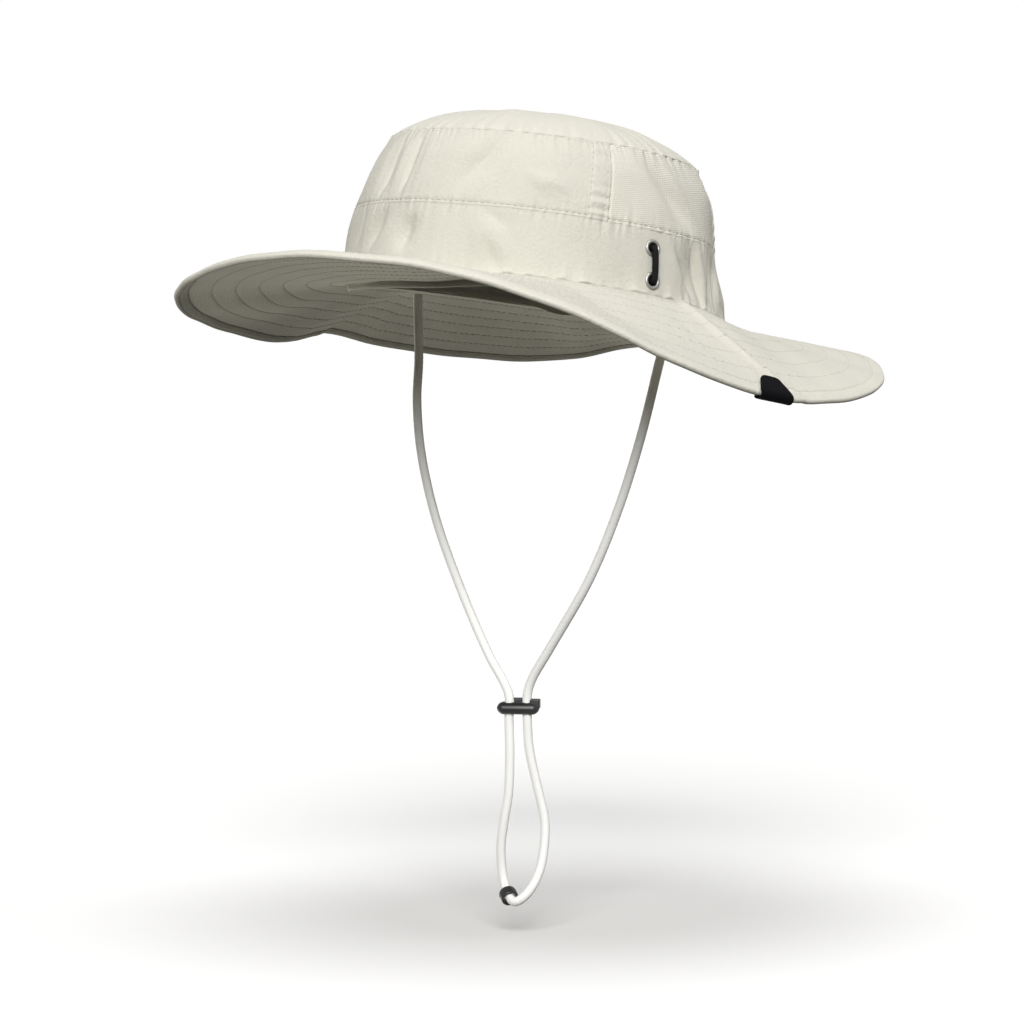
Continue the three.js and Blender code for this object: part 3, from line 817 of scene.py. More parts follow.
def spun(name: str, outline: Sequence[tuple[float, float]], out: Vector, middle: Vector) -> Piece:
    """Spins a closed section round an axis.

    Args:
        name: The piece's name.
        outline: The section, as radii and places along the axis.
        out: The axis.
        middle: Where the axis starts.

    Returns:
        The piece.
    """
    deselect_all()
    bpy.ops.mesh.primitive_plane_add(size=1)
    piece = named(name)
    mesh = piece.data
    mesh.clear_geometry()
    mesh.from_pydata([(radius, 0, up) for radius, up in outline],
                     [(i, (i + 1) % len(outline)) for i in range(len(outline))], [])
    bpy.ops.object.mode_set(mode="EDIT")
    bpy.ops.mesh.select_all(action="SELECT")
    bpy.ops.mesh.spin(steps=48, angle=2 * math.pi, center=(0, 0, 0), axis=(0, 0, 1))
    bpy.ops.mesh.select_all(action="SELECT")
    bpy.ops.mesh.remove_doubles(threshold=1e-6)
    bpy.ops.mesh.normals_make_consistent(inside=False)
    bpy.ops.object.mode_set(mode="OBJECT")
    turn = out.to_track_quat("Z", "Y").to_matrix().to_4x4()
    turn.translation = middle
    mesh.transform(turn)
    return piece


class Nodes:
    """A node tree, whose nodes are linked as they are added."""

    def __init__(self, tree: bpy.types.NodeTree) -> None:
        """Takes the tree that the nodes go into."""
        self.tree = tree

    def add(self, kind: str, sockets: dict[str | int, object] | None = None,
            **settings: object) -> bpy.types.Node:
        """Adds a node.

        Args:
            kind: The node's type without its ShaderNode prefix.
            sockets: Values or output sockets for its inputs, by name or number.
            settings: Its own settings by name.

        Returns:
            The node.
        """
        node = self.tree.nodes.new("ShaderNode" + kind)
        for name, value in settings.items():
            setattr(node, name, value)
        for key, value in (sockets or {}).items():
            self.feed(node.inputs[key], value)
        return node

    def feed(self, socket: Socket, value: object) -> None:
        """Links an output to a socket, or sets the socket's own value.

        Args:
            socket: The input socket.
            value: An output socket or a value.
        """
        if isinstance(value, Socket):
            self.tree.links.new(value, socket)
        else:
            socket.default_value = value

    def math(self, operation: str, *values: object) -> Socket:
        """Adds a Math node and returns its result."""
        return self.add("Math", dict(enumerate(values)), operation=operation).outputs[0]

    def mixed(self, share: object, first: object, second: object) -> Socket:
        """Mixes two colours and returns the result.

        Args:
            share: How much of the second colour.
            first: One colour.
            second: The other colour.

        Returns:
            The mixed colour's socket.
        """
        node = self.add("Mix", data_type="RGBA")
        self.feed(node.inputs["Factor"], share)
        colours = [socket for socket in node.inputs if socket.type == "RGBA"]
        self.feed(colours[0], first)
        self.feed(colours[1], second)
        return next(socket for socket in node.outputs if socket.type == "RGBA")


class Shader(Nodes):
    """A material with a Principled shader."""

    def __init__(self, name: str) -> None:
        """Starts the material.

        Args:
            name: Its name.
        """
        self.material = bpy.data.materials.new(name)
        self.material.use_nodes = True
        super().__init__(self.material.node_tree)
        self.surface = self.tree.nodes["Principled BSDF"]

    def noise(self, scale: float, detail: float = 2.0) -> Socket:
        """Adds noise on Object coordinates and returns its value."""
        place = self.add("TexCoord").outputs["Object"]
        return self.add("TexNoise", {"Vector": place, "Scale": scale, "Detail": detail}).outputs["Fac"]

    def bump(self, height: object, distance: float, strength: float, under: object = None) -> Socket:
        """Adds a bump over another and returns its normal.

        Args:
            height: The height's socket.
            distance: How far full height stands out.
            strength: How strongly it shows.
            under: The normal of a bump below it.

        Returns:
            The normal's socket.
        """
        sockets = {"Height": height, "Distance": distance, "Strength": strength}
        if under is not None:
            sockets["Normal"] = under
        return self.add("Bump", sockets).outputs["Normal"]


def rgba(color: Sequence[float], scale: float = 1.0) -> tuple[float, float, float, float]:
    """Returns a colour with full alpha, scaled."""
    return (color[0] * scale, color[1] * scale, color[2] * scale, 1.0)


@dataclass(frozen=True)
class ClothFinish:
    """Cloth, elastic and cord: a weave, the fibres' unevenness, and painted shade in the weave's hollows and
    along the seams.
    """

    name: str
    color: tuple[float, float, float]
    weave: Weave = Weave.PLAIN
    pitch: float = 0.5 * MM
    relief: float = 0.06 * MM
    mesh_tilt: float = 38.0
    knit_stretch: float = 0.35
    # Strength of the painted shade in the weave's hollows and the vent mesh's holes.
    weave_hollow_shade: float = 0.06
    # Strength of the painted shade carried by the seam_shade attribute.
    painted_shade_strength: float = 0.14
    mottle: float = 0.05
    grain: float = 0.45 * MM
    streaks: float = 0.0
    streak_size: tuple[float, float] = (330.0, 1500.0)
    roughness: float = 0.88
    sheen: float = 0.12
    shine: float = 0.2

    def threads(self, shader: Shader) -> Socket:
        """Gives the height of the threads from -1 to 1 on the piece's UV map.

        Args:
            shader: The material that the nodes go into.

        Returns:
            The height's socket.
        """
        uv = shader.add("UVMap", uv_map="cloth").outputs["UV"]
        tilt = math.radians(self.mesh_tilt) if self.weave is Weave.VENT_MESH else 0.0
        place = shader.add("Mapping", {"Vector": uv, "Rotation": (0, 0, tilt)})
        across = shader.add("SeparateXYZ", {0: place.outputs[0]})
        turns = 2 * math.pi / self.pitch
        x = shader.math("MULTIPLY", across.outputs[0], turns)
        y = shader.math("MULTIPLY", across.outputs[1], turns)
        if self.weave is Weave.BRAID:
            x, y = shader.math("ADD", x, y), shader.math("SUBTRACT", x, y)
        if self.weave is Weave.KNIT:
            y = shader.math("MULTIPLY", y, self.knit_stretch)
        first, second = shader.math("SINE", x), shader.math("SINE", y)
        if self.weave is Weave.BRAID:
            return shader.math("MAXIMUM", first, second)
        return shader.math("MULTIPLY", first, second)

    def material(self) -> Material:
        """Builds the material.

        Returns:
            The material.
        """
        shader = Shader(self.name)
        threads = self.threads(shader)
        blotches = shader.noise(38, 3)
        fibres = shader.noise(620, 3)
        color = shader.mixed(blotches, rgba(self.color, 1 - self.mottle),
                             rgba(self.color, 1 + self.mottle / 2))
        # Painted shade in the weave's hollows and the vent mesh's holes, plus random fibre tone.
        dark = shader.math("MULTIPLY_ADD", threads, -self.weave_hollow_shade / 2, self.weave_hollow_shade / 2)
        dark = shader.math("ADD", dark, shader.math("MULTIPLY", fibres, self.mottle * 2))
        color = shader.mixed(dark, color, rgba(self.color, 0.2))
        # Painted shade from the seam_shade attribute: seams, stitch grooves, the hem's underside and the
        # inside of the crown.
        seam = shader.add("Attribute", attribute_name="seam_shade").outputs["Fac"]
        color = shader.mixed(shader.math("MULTIPLY", seam, self.painted_shade_strength), color, rgba(self.color, 0.15))
        shader.feed(shader.surface.inputs["Base Color"], color)
        shader.surface.inputs["Roughness"].default_value = self.roughness
        shader.surface.inputs["Sheen Weight"].default_value = self.sheen
        shader.surface.inputs["Sheen Roughness"].default_value = 0.5
        shader.surface.inputs["Specular IOR Level"].default_value = self.shine
        soft = shader.bump(fibres, self.grain, 0.7)
        if self.streaks:
            uv = shader.add("UVMap", uv_map="cloth").outputs["UV"]
            stretched = shader.add("Mapping", {"Vector": uv, "Scale": (*self.streak_size, 1.0)})
            streaked = shader.add("TexNoise", {"Vector": stretched.outputs[0], "Scale": 1.0, "Detail": 3.0})
            soft = shader.bump(streaked.outputs["Fac"], self.streaks, 0.9, soft)
        shader.feed(shader.surface.inputs["Normal"], shader.bump(threads, self.relief, 0.8, soft))
        return shader.material


@dataclass(frozen=True)
class HardFinish:
    """Moulded plastic or plated metal, a little scuffed."""

    name: str
    color: tuple[float, float, float]
    metallic: float = 0.0
    roughness: float = 0.35
    scuffs: float = 0.12
    grain: float = 0.03 * MM

    def material(self) -> Material:
        """Builds the material.

        Returns:
            The material.
        """
        shader = Shader(self.name)
        scuffed = shader.noise(260, 4)
        color = shader.mixed(shader.noise(90, 2), rgba(self.color, 0.85), rgba(self.color, 1.2))
        shader.feed(shader.surface.inputs["Base Color"], color)
        rough = shader.math("MULTIPLY_ADD", scuffed, self.scuffs, self.roughness - self.scuffs / 2)
        shader.feed(shader.surface.inputs["Roughness"], rough)
        shader.surface.inputs["Metallic"].default_value = self.metallic
        shader.feed(shader.surface.inputs["Normal"], shader.bump(shader.noise(1500, 1), self.grain, 0.25))
        return shader.material


@dataclass(frozen=True)
class Finishes:
    """Every finish of the hat, made once."""

    cloth: Material
    brim_cloth: Material
    vent_mesh: Material
    sweatband: Material
    thread: Material
    pale_thread: Material
    dark_thread: Material
    tab: Material
    elastic: Material
    cord: Material
    nickel: Material
    plastic: Material

    @staticmethod
    def thread_finish(name: str, color: tuple[float, float, float]) -> Material:
        """Makes a sewing thread's finish."""
        return ClothFinish(name, color, relief=0.02 * MM, painted_shade_strength=0).material()

    @classmethod
    def make(cls) -> Finishes:
        """Makes the finishes.

        Returns:
            The finishes.
        """
        cream = (0.625, 0.61, 0.54)
        black = (0.012, 0.012, 0.013)
        return cls(
            cloth=ClothFinish("cream_cloth", cream).material(),
            brim_cloth=ClothFinish("cream_brim_cloth", cream, relief=0.05 * MM, streaks=0.6 * MM,
                                   painted_shade_strength=0.4).material(),
            vent_mesh=ClothFinish("cream_vent_mesh", (0.68, 0.66, 0.585), Weave.VENT_MESH, 1.4 * MM,
                                  0.12 * MM, weave_hollow_shade=0.2, grain=0.1 * MM).material(),
            sweatband=ClothFinish("cream_sweatband_knit", cream, Weave.KNIT, 0.9 * MM, 0.15 * MM,
                                  painted_shade_strength=0.5).material(),
            thread=cls.thread_finish("cream_thread", (0.56, 0.54, 0.47)),
            pale_thread=cls.thread_finish("pale_thread", (0.6, 0.58, 0.51)),
            # A darker copy of the cream thread, as painted shade for the stitches under the brim.
            dark_thread=cls.thread_finish("shaded_thread", (0.44, 0.42, 0.35)),
            tab=ClothFinish("black_tab", (0.005, 0.005, 0.006), pitch=0.6 * MM, relief=0.12 * MM, sheen=0,
                            roughness=0.8, shine=0.04, grain=0.2 * MM).material(),
            elastic=ClothFinish("black_elastic", (0.007, 0.007, 0.007), Weave.BRAID, 1.2 * MM, 0.15 * MM,
                                sheen=0, roughness=0.55, shine=0.1, grain=0.1 * MM).material(),
            cord=ClothFinish("white_cord", (0.95, 0.95, 0.935), Weave.BRAID, 1.6 * MM, 0.05 * MM,
                             weave_hollow_shade=0.05, mottle=0.015, grain=0.15 * MM).material(),
            nickel=HardFinish("nickel", (0.32, 0.315, 0.3), 1.0, 0.42).material(),
            plastic=HardFinish("black_plastic", black, roughness=0.38).material(),
        )


def dress(piece: Piece, material: Material, slot: str, *replaced: str) -> Piece:
    """Gives a finished piece its material and ties it to the frame.

    Args:
        piece: The piece.
        material: Its material.
        slot: The record's slot for its finish; not used.
        replaced: The frame's nodes that it stands for.

    Returns:
        The piece.
    """
    piece.data.materials.clear()
    piece.data.materials.append(material)
    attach(piece, BODY)
    if replaced:
        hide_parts(*replaced)
    LOG.info("%s: %d points", piece.name, len(piece.data.vertices))
    return piece


@dataclass(frozen=True)
class Thread:
    """Sewing thread: one stitch, repeated along a seam."""

    length: float = 2.5 * MM
    gap: float = 0.8 * MM
    width: float = 0.42 * MM
    segments: int = 5
    rings: int = 4

    def stitch(self) -> tuple[Array, Array]:
        """Models one stitch as a slim grain of thread along X.

        Returns:
            Its points, and its faces as rows of three.
        """
        deselect_all()
        bpy.ops.mesh.primitive_uv_sphere_add(segments=self.segments, ring_count=self.rings, radius=0.5,
                                             rotation=(0, math.pi / 2, 0))
        grain = named("stitch")
        bpy.ops.object.transform_apply(location=False, rotation=True, scale=False)
        finish_with(grain, "TRIANGULATE")
        points = points_of(grain) * (self.length, self.width, self.width)
        faces = np.array([tuple(face.vertices) for face in grain.data.polygons])
        bpy.data.objects.remove(grain)
        return points, faces

    def sew(self, name: str, lines: Sequence[tuple[Array, Array]]) -> Piece:
        """Sews stitches along lines.

        Args:
            name: The piece's name.
            lines: For each line its places and the directions out of the cloth there.

        Returns:
            All the stitches as one piece.
        """
        points, faces = self.stitch()
        every_point, every_face = [], []
        count = 0
        for line, outs in lines:
            walked = walked_along(line)
            number = max(1, round(walked[-1] / (self.length + self.gap)))
            middle = (np.arange(number) + 0.5) * walked[-1] / number
            half = self.length / 2
            here, start, end = (np.stack([np.interp(middle + shift, walked, line[:, axis])
                                          for axis in range(3)], -1) for shift in (0, -half, half))
            out = unit(np.stack([np.interp(middle, walked, outs[:, axis]) for axis in range(3)], -1))
            along = unit(end - start)
            side = unit(np.cross(out, along))
            out = np.cross(along, side)
            placed = (here[:, None] + points[None, :, :1] * along[:, None]
                      + points[None, :, 1:2] * side[:, None] + points[None, :, 2:] * out[:, None])
            every_point.append(placed.reshape(-1, 3))
            offsets = count + np.arange(number)[:, None, None] * len(points)
            every_face.append((faces[None] + offsets).reshape(-1, 3))
            count += number * len(points)
        mesh = bpy.data.meshes.new(name)
        mesh.from_pydata(np.vstack(every_point).tolist(), [], np.vstack(every_face).tolist())
        piece = bpy.data.objects.new(name, mesh)
        bpy.context.collection.objects.link(piece)
        smooth(piece)
        set_uv(piece, points_of(piece)[:, :2])
        return piece


@dataclass(frozen=True)
class Crown:
    """The crown: its tip, four side panels and band, with their seams, puckers and stitching."""

    form: HatForm
    finishes: Finishes
    columns: int = 840
    tip_segments: int = 640
    tip_rings: int = 100
    panel_rows: int = 64
    tuck: float = 3 * MM
    roll: float = 0.8 * MM
    roll_depth: float = 0.22 * MM
    stitch_inset: float = 1.9 * MM
    side_seam_width: float = 11 * MM
    side_seam_rise: float = 0.5 * MM
    tip_pucker: float = 0.75 * MM
    tip_pucker_reach: float = 11 * MM
    seam_pucker: float = 0.5 * MM
    seam_pucker_reach: float = 4.5 * MM
    base_bulge: float = 1.0 * MM
    base_reach: float = 3.4 * MM
    foot_rise: float = 1.1 * MM
    rumple_depth: float = 0.35 * MM
    groove_depth: float = 0.28 * MM
    groove_width: float = 0.7 * MM
    strap_ripple: float = 0.35 * MM
    # Strength of the shade painted along the crown's seams.
    edge_shade: float = 0.6
    band_rows: int = 46
    eyelet_hole: float = 3.1 * MM

    def creases(self, angle: Array, height: Array) -> Array:
        """Returns how far the narrow creases lift the cloth.

        Args:
            angle: Angles round the hat, in degrees.
            height: Heights on the upright hat.

        Returns:
            The lifts.
        """
        around = self.form.around
        lift = np.zeros(np.broadcast(angle, height).shape)
        for crease in CROWN_CREASES:
            low, high = crease.low_height * MM, crease.high_height * MM
            if low > high:
                crease = Crease(crease.high_angle, crease.high_height, crease.low_angle, crease.low_height,
                                crease.width, crease.depth)
                low, high = high, low
            rise = high - low
            run = (crease.high_angle - crease.low_angle) * around
            along_x = turn_between(crease.low_angle, angle) * around
            along_y = height - low
            length = math.hypot(run, rise)
            along = (along_x * run + along_y * rise) / length ** 2
            across = (along_x * rise - along_y * run) / length / (crease.width * MM)
            ends = fold_shape(np.clip(2 * along - 1, -1.3, 1.3) / 1.3)
            lift += crease.depth * MM * fold_shape(across, 0.8) * ends
            lift += -0.4 * crease.depth * MM * fold_shape((across - 1.2) / 1.1, 0.2) * ends
        return lift

    def relief(self, angle: Array, height: Array) -> Array:
        """Returns the small lift of the cloth: creases, puckers along the seams and soft swells.

        Args:
            angle: Angles round the hat, in degrees.
            height: Heights on the upright hat.

        Returns:
            The lifts.
        """
        form = self.form
        below_tip = form.tip_height(angle) - height
        from_band = np.abs(height - form.band_height)
        lift = self.creases(angle, height)
        puckers = ripples(angle, 45, 95, 3) + 0.6 * ripples(angle + 0.1 * height / MM, 110, 210, 4)
        lift += self.seam_pucker * puckers * np.exp(-below_tip / self.seam_pucker_reach)
        small = ripples(angle, 60, 120, 5) + 0.6 * ripples(angle - 0.1 * height / MM, 120, 220, 6)
        lift += self.seam_pucker * 0.7 * small * np.exp(-from_band / self.seam_pucker_reach)
        gathered = fold_shape(turn_between(104, angle) / 26)
        low = ripples(angle, 50, 130, 7) * np.exp(-np.maximum(height, 0) / (7 * MM))
        lift += self.seam_pucker * (0.6 + 1.2 * gathered) * low
        lift += self.rumple_depth * rumple(angle, height, 42 * MM, 11)
        return lift * form.calm(angle, height)

    def side_seams(self, angle: Array, height: Array) -> Array:
        """Returns the distance along the cloth from each point to the nearest side seam's line.

        Args:
            angle: Angles round the hat, in degrees.
            height: Heights on the upright hat.

        Returns:
            The distances.
        """
        up = self.up_share(height)
        gaps = [np.abs(turn_between(cut.band_start + (cut.tip_start - cut.band_start) * up, angle))
                for cut in PANEL_CUTS]
        return np.minimum.reduce(gaps) * self.form.around

    def up_share(self, height: Array) -> Array:
        """Returns how far up the side panels a height is, from 0 at the band to 1 at the tip."""
        form = self.form
        return np.clip((height - form.band_height) / (form.crown_height - form.band_height), 0, 1)

    def cloth(self, angle: Array, height: Array, lifted: Array) -> Array:
        """Gives points of the crown's finished outer face in the frame's position."""
        lift = self.relief(angle, height) + lifted
        return self.form.tipped(self.form.crown_point(angle, height, lift))

    def edge_roll(self, distance: Array) -> Array:
        """Returns how far a panel's edge sinks into its seam, by the distance from the edge."""
        return -self.roll_depth * np.clip(1 - distance / self.roll, 0, 1) ** 2

    def panel(self, cut: PanelCut) -> Piece:
        """Builds one side panel, with its edges rolled into the seams.

        Args:
            cut: The panel's name and seams.

        Returns:
            The panel.
        """
        form = self.form
        columns = round((cut.band_end - cut.band_start) * self.columns / 360)
        tuck = self.tuck / form.around if cut.mesh else 0.0

        def measured(across: Array, up: Array) -> tuple[Array, Array]:
            """Places points of the panel on the upright crown.

            Args:
                across: Shares across the patch.
                up: Shares up the patch.

            Returns:
                Their angles and their heights.
            """
            start = cut.band_start + (cut.tip_start - cut.band_start) * up - tuck
            end = cut.band_end + (cut.tip_end - cut.band_end) * up + tuck
            angle = start + (end - start) * across
            bottom = form.band_height + 0.05 * MM
            return angle, bottom + (form.tip_height(angle) - bottom) * up

        def place(across: Array, up: Array) -> Array:
            """Gives points of the panel's outer face.

            Args:
                across: Shares across the patch.
                up: Shares up the patch.

            Returns:
                The points.
            """
            up = step_spread(up)
            angle, height = measured(across, up)
            low_edge = height - form.band_height
            high_edge = form.tip_height(angle) - height
            lift = self.edge_roll(low_edge) + self.edge_roll(high_edge)
            lift -= self.groove(low_edge - self.stitch_inset)
            seam = self.side_seams(angle, height)
            if cut.mesh:
                lift -= (form.wall + 0.1 * MM) * (1 - step_between(seam, 0.2 * MM, 1.6 * MM))
            else:
                raised = 1 - step_between(seam, self.side_seam_width - 1 * MM, self.side_seam_width + 1 * MM)
                cross = ripples(height / form.crown_height * 360, 9, 17, 21)
                lift += raised * (self.side_seam_rise + self.strap_ripple * cross)
                lift += self.edge_roll(seam)
                lift -= self.groove(seam - self.stitch_inset) + self.groove(seam - self.side_seam_width)
            return self.cloth(angle, height, lift)

        piece = cloth_patch(cut.name + "_cloth", columns, self.panel_rows, place)
        shares = uv_points(piece)
        up = step_spread(shares[:, 1])
        angle, height = measured(shares[:, 0], up)
        seam = np.minimum(self.side_seams(angle, height), height - form.band_height)
        seam = np.minimum(seam, form.tip_height(angle) - height)
        # Paints shade along the panel's seams and edges.
        set_shade(piece, self.edge_shade * np.clip(1 - seam / (0.9 * MM), 0, 1))
        set_uv(piece, np.stack([angle * form.around, height], -1))
        finish_with(piece, "SOLIDIFY", thickness=form.wall, offset=-1, use_even_offset=True)
        smooth(piece, 50)
        material = self.finishes.vent_mesh if cut.mesh else self.finishes.cloth
        return dress(piece, material, "vent_mesh" if cut.mesh else "cloth", cut.name)

    def groove(self, distance: Array) -> Array:
        """Returns how deep a row of stitches pulls the cloth in, by the distance from the row."""
        return self.groove_depth * np.exp(-(distance / self.groove_width) ** 2)

    def band(self) -> Piece:
        """Builds the band: its top tucked behind the panels, its foot puffed over the brim's seam.

        Returns:
            The band.
        """
        form = self.form
        rows = self.band_rows
        section = 2 * (rows + 1)

        def measured(angle: Array, row: Array) -> tuple[Array, Array]:
            """Measures the heights of the band's rows and of its foot.

            Args:
                angle: Angles round the hat, in degrees.
                row: Numbers of points in the section, from the foot's outer face.

            Returns:
                The heights of the points and of the foot below them.
            """
            row = np.minimum(row, section - 1 - row)
            bottom = form.seam_height(angle) + form.brim_thickness / 2 + form.seam_gap
            last = rows - 2
            up = np.minimum(row / last, 1)
            up = up - 0.8 * np.sin(2 * math.pi * up) / (2 * math.pi)
            shown = bottom + (form.band_height - bottom) * up
            return shown + np.where(row > last, 0.15 * MM + (row - last - 1) * self.tuck, 0), bottom

        def place(angle: Array, row: Array) -> Array:
            """Gives points of the band's section.

            Args:
                angle: Angles round the hat, in degrees.
                row: Numbers of points in the section, from the foot's outer face.

            Returns:
                The points.
            """
            height, bottom = measured(angle, row)
            inner = row > rows
            foot = height - bottom
            wavy = ripples(angle, 36, 84, 9)
            fold = self.foot_rise * (1 + 0.7 * wavy)
            puff = np.clip(0.8 + 0.35 * wavy + 0.4 * ripples(angle, 14, 40, 8), 0.2, 1.6)
            above = np.exp(-np.maximum(foot - fold, 0) / self.base_reach)
            below = np.clip((fold - foot) / (1.1 * MM), 0, 1) ** 2
            bulge = self.base_bulge * puff * (above - 0.7 * below * (foot < fold))
            tucked = (form.wall + 0.15 * MM) * (height > form.band_height + 0.05 * MM)
            lift = bulge - tucked - np.where(inner, form.wall, 0)
            return self.cloth(angle, height, lift)

        def uv(angle: Array, row: Array) -> Array:
            """Gives places on the band's UV map."""
            return np.stack([angle * form.around, measured(angle, row)[0]], -1)

        def shade(angle: Array, row: Array) -> Array:
            """Paints shade into the band at its foot and along its top seam.

            Args:
                angle: Angles round the hat, in degrees.
                row: Numbers of points in the section, from the foot's outer face.

            Returns:
                The shades, from 0 to 1.
            """
            height, bottom = measured(angle, row)
            below = form.band_height - height
            at_top = self.edge_shade * np.clip(1 - below / (0.7 * MM), 0, 1) * (below > 0)
            return np.maximum(np.clip(1 - (height - bottom) / (0.8 * MM), 0, 1), at_top)

        piece = ring_wall("crown_band_cloth", self.columns, section, place, uv, shade)
        self.pierce(piece)
        return dress(piece, self.finishes.cloth, "cloth", "crown_band")

    def pierce(self, band: Piece) -> None:
        """Cuts the four eyelet holes through the band.

        Args:
            band: The band.
        """
        deselect_all()
        cutters = []
        for ear in Ear:
            for height in eyelet_heights(self.form, ear):
                middle = self.form.tipped(self.form.crown_point(ear.value, height, -self.form.wall / 2))
                out = self.form.tipped(self.form.crown_normal(ear.value, height))
                bpy.ops.mesh.primitive_cylinder_add(
                    vertices=32, radius=self.eyelet_hole, depth=9 * MM, location=middle,
                    rotation=Vector(out).to_track_quat("Z", "Y").to_euler())
                cutters.append(bpy.context.object)
        for cutter in cutters:
            cutter.select_set(True)
        bpy.ops.object.join()
        cutter = named("eyelet_cutter")
        finish_with(band, "BOOLEAN", operation="DIFFERENCE", object=cutter, solver="EXACT")
        bpy.data.objects.remove(cutter)
        smooth(band, 60)

    def tip(self) -> Piece:
        """Builds the domed tip, gathered a little into its seam and turned down behind the panels.

        Returns:
            The tip.
        """
        form = self.form
        deselect_all()
        bpy.ops.mesh.primitive_uv_sphere_add(segments=self.tip_segments, ring_count=self.tip_rings, radius=1)
        piece = named("crown_tip_cloth")
        ball = points_of(piece)
        latitude = np.arcsin(np.clip(ball[:, 2], -1, 1)) / (math.pi / 2)
        angle = np.degrees(np.arctan2(ball[:, 1], ball[:, 0])) + 90
        rim_reach = CROWN_PROFILE[-1].reach
        ring = 1 - np.abs(latitude) ** 1.5
        outer = latitude > 1e-4
        radius = form.opening_length / 2 * rim_reach
        from_rim = (1 - ring) * radius
        flat = form.oval(angle, rim_reach * ring, 0, 0)
        height = (form.crown_height + 0.08 * MM + form.tip_back_rise * flat[:, 1] / radius
                  + form.dome_rise * (1 - ring ** form.dome_fullness))
        flat[:, 1] -= form.crown_lean
        gather = ripples(angle, 38, 78, 31) * (0.75 + 0.45 * ripples(angle, 2, 7, 33))
        lift = self.tip_pucker * gather * np.exp(-from_rim / self.tip_pucker_reach) * step_between(
            from_rim, -1 * MM, 2 * MM)
        swells = rumple(angle, from_rim, 46 * MM, 35) * step_between(from_rim, 0, 30 * MM)
        lift += self.rumple_depth * 0.9 * swells
        lift += self.edge_roll(from_rim) - self.groove(from_rim - self.stitch_inset)
        lift -= np.where(outer, 0, form.wall)
        dome = ring ** (form.dome_fullness - 1)
        slope = form.dome_rise * form.dome_fullness / radius * dome
        out = unit(np.stack([flat[:, 0] / radius * slope / np.maximum(ring, 1e-3),
                             flat[:, 1] / radius * slope / np.maximum(ring, 1e-3), np.ones(len(ring))], -1))
        flat[:, 2] = height
        rim = form.crown_fold(angle, form.tip_height(angle)) * ring ** 3
        flat += form.crown_normal(angle, form.tip_height(angle)) * (1, 1, 0) * rim[:, None]
        move_points(piece, form.tipped(flat + out * lift[:, None]))
        smooth(piece)
        # Paints shade into the tip's rim along its seam.
        set_shade(piece, np.clip(1 - from_rim / (1.0 * MM), 0, 1))
        set_uv(piece, flat[:, :2])
        return dress(piece, self.finishes.cloth, "cloth", "crown_tip")

    def sew(self, thread: Thread) -> Piece:
        """Sews the crown's seams: round the tip, above the band, and two rows beside each side seam.

        Args:
            thread: The thread.

        Returns:
            The stitches.
        """
        form = self.form
        turn = np.linspace(0, 360, 1441)
        lines = []
        above = np.full_like(turn, form.band_height + self.stitch_inset)
        lines.append(self.seam_line(turn, above, -0.1 * MM))
        lines.append(self.seam_line(turn, form.tip_height(turn) - self.stitch_inset * 0.6, -0.15 * MM))
        up = np.linspace(0.04, 0.96, 60)
        for cut in PANEL_CUTS:
            side = -1 if cut.mesh else 1
            for inset in (self.stitch_inset, self.side_seam_width):
                angle = cut.band_start + (cut.tip_start - cut.band_start) * up + side * inset / form.around
                height = form.band_height + (form.tip_height(angle) - form.band_height) * up
                lines.append(self.seam_line(angle, height, self.side_seam_rise - 0.1 * MM))
        piece = thread.sew("crown_stitches", lines)
        return dress(piece, self.finishes.thread, "cloth")

    def seam_line(self, angle: Array, height: Array, lifted: float) -> tuple[Array, Array]:
        """Returns a line over the crown's finished face, and the directions out of it."""
        return self.cloth(angle, height, lifted), self.form.tipped(self.form.crown_normal(angle, height))

    def build(self, thread: Thread) -> None:
        """Builds the whole crown.

        Args:
            thread: The thread.
        """
        for cut in PANEL_CUTS:
            self.panel(cut)
        self.band()
        self.tip()
        self.sew(thread)


def step_spread(share: Array) -> Array:
    """Draws rows closer together towards both edges of a patch."""
    return share - 0.13 * np.sin(2 * math.pi * share)


def uv_points(piece: Piece) -> Array:
    """Returns the UV place of each point of a patch that isn't closed on itself.

    Args:
        piece: The piece.

    Returns:
        The places, one row for each point.
    """
    mesh = piece.data
    corner_points = np.empty(len(mesh.loops), dtype=np.int64)
    mesh.loops.foreach_get("vertex_index", corner_points)
    corners = np.empty(len(mesh.loops) * 2)
    mesh.uv_layers["cloth"].data.foreach_get("uv", corners)
    uv = np.empty((len(mesh.vertices), 2))
    uv[corner_points] = corners.reshape(-1, 2)
    return uv


def eyelet_heights(form: HatForm, ear: Ear) -> tuple[float, float]:
    """Returns the heights of an ear's lower and upper eyelets."""
    bottom = float(form.seam_height(np.array(ear.value)))
    return tuple(bottom + (form.band_height - bottom) * share for share in EYELET_SHARES)


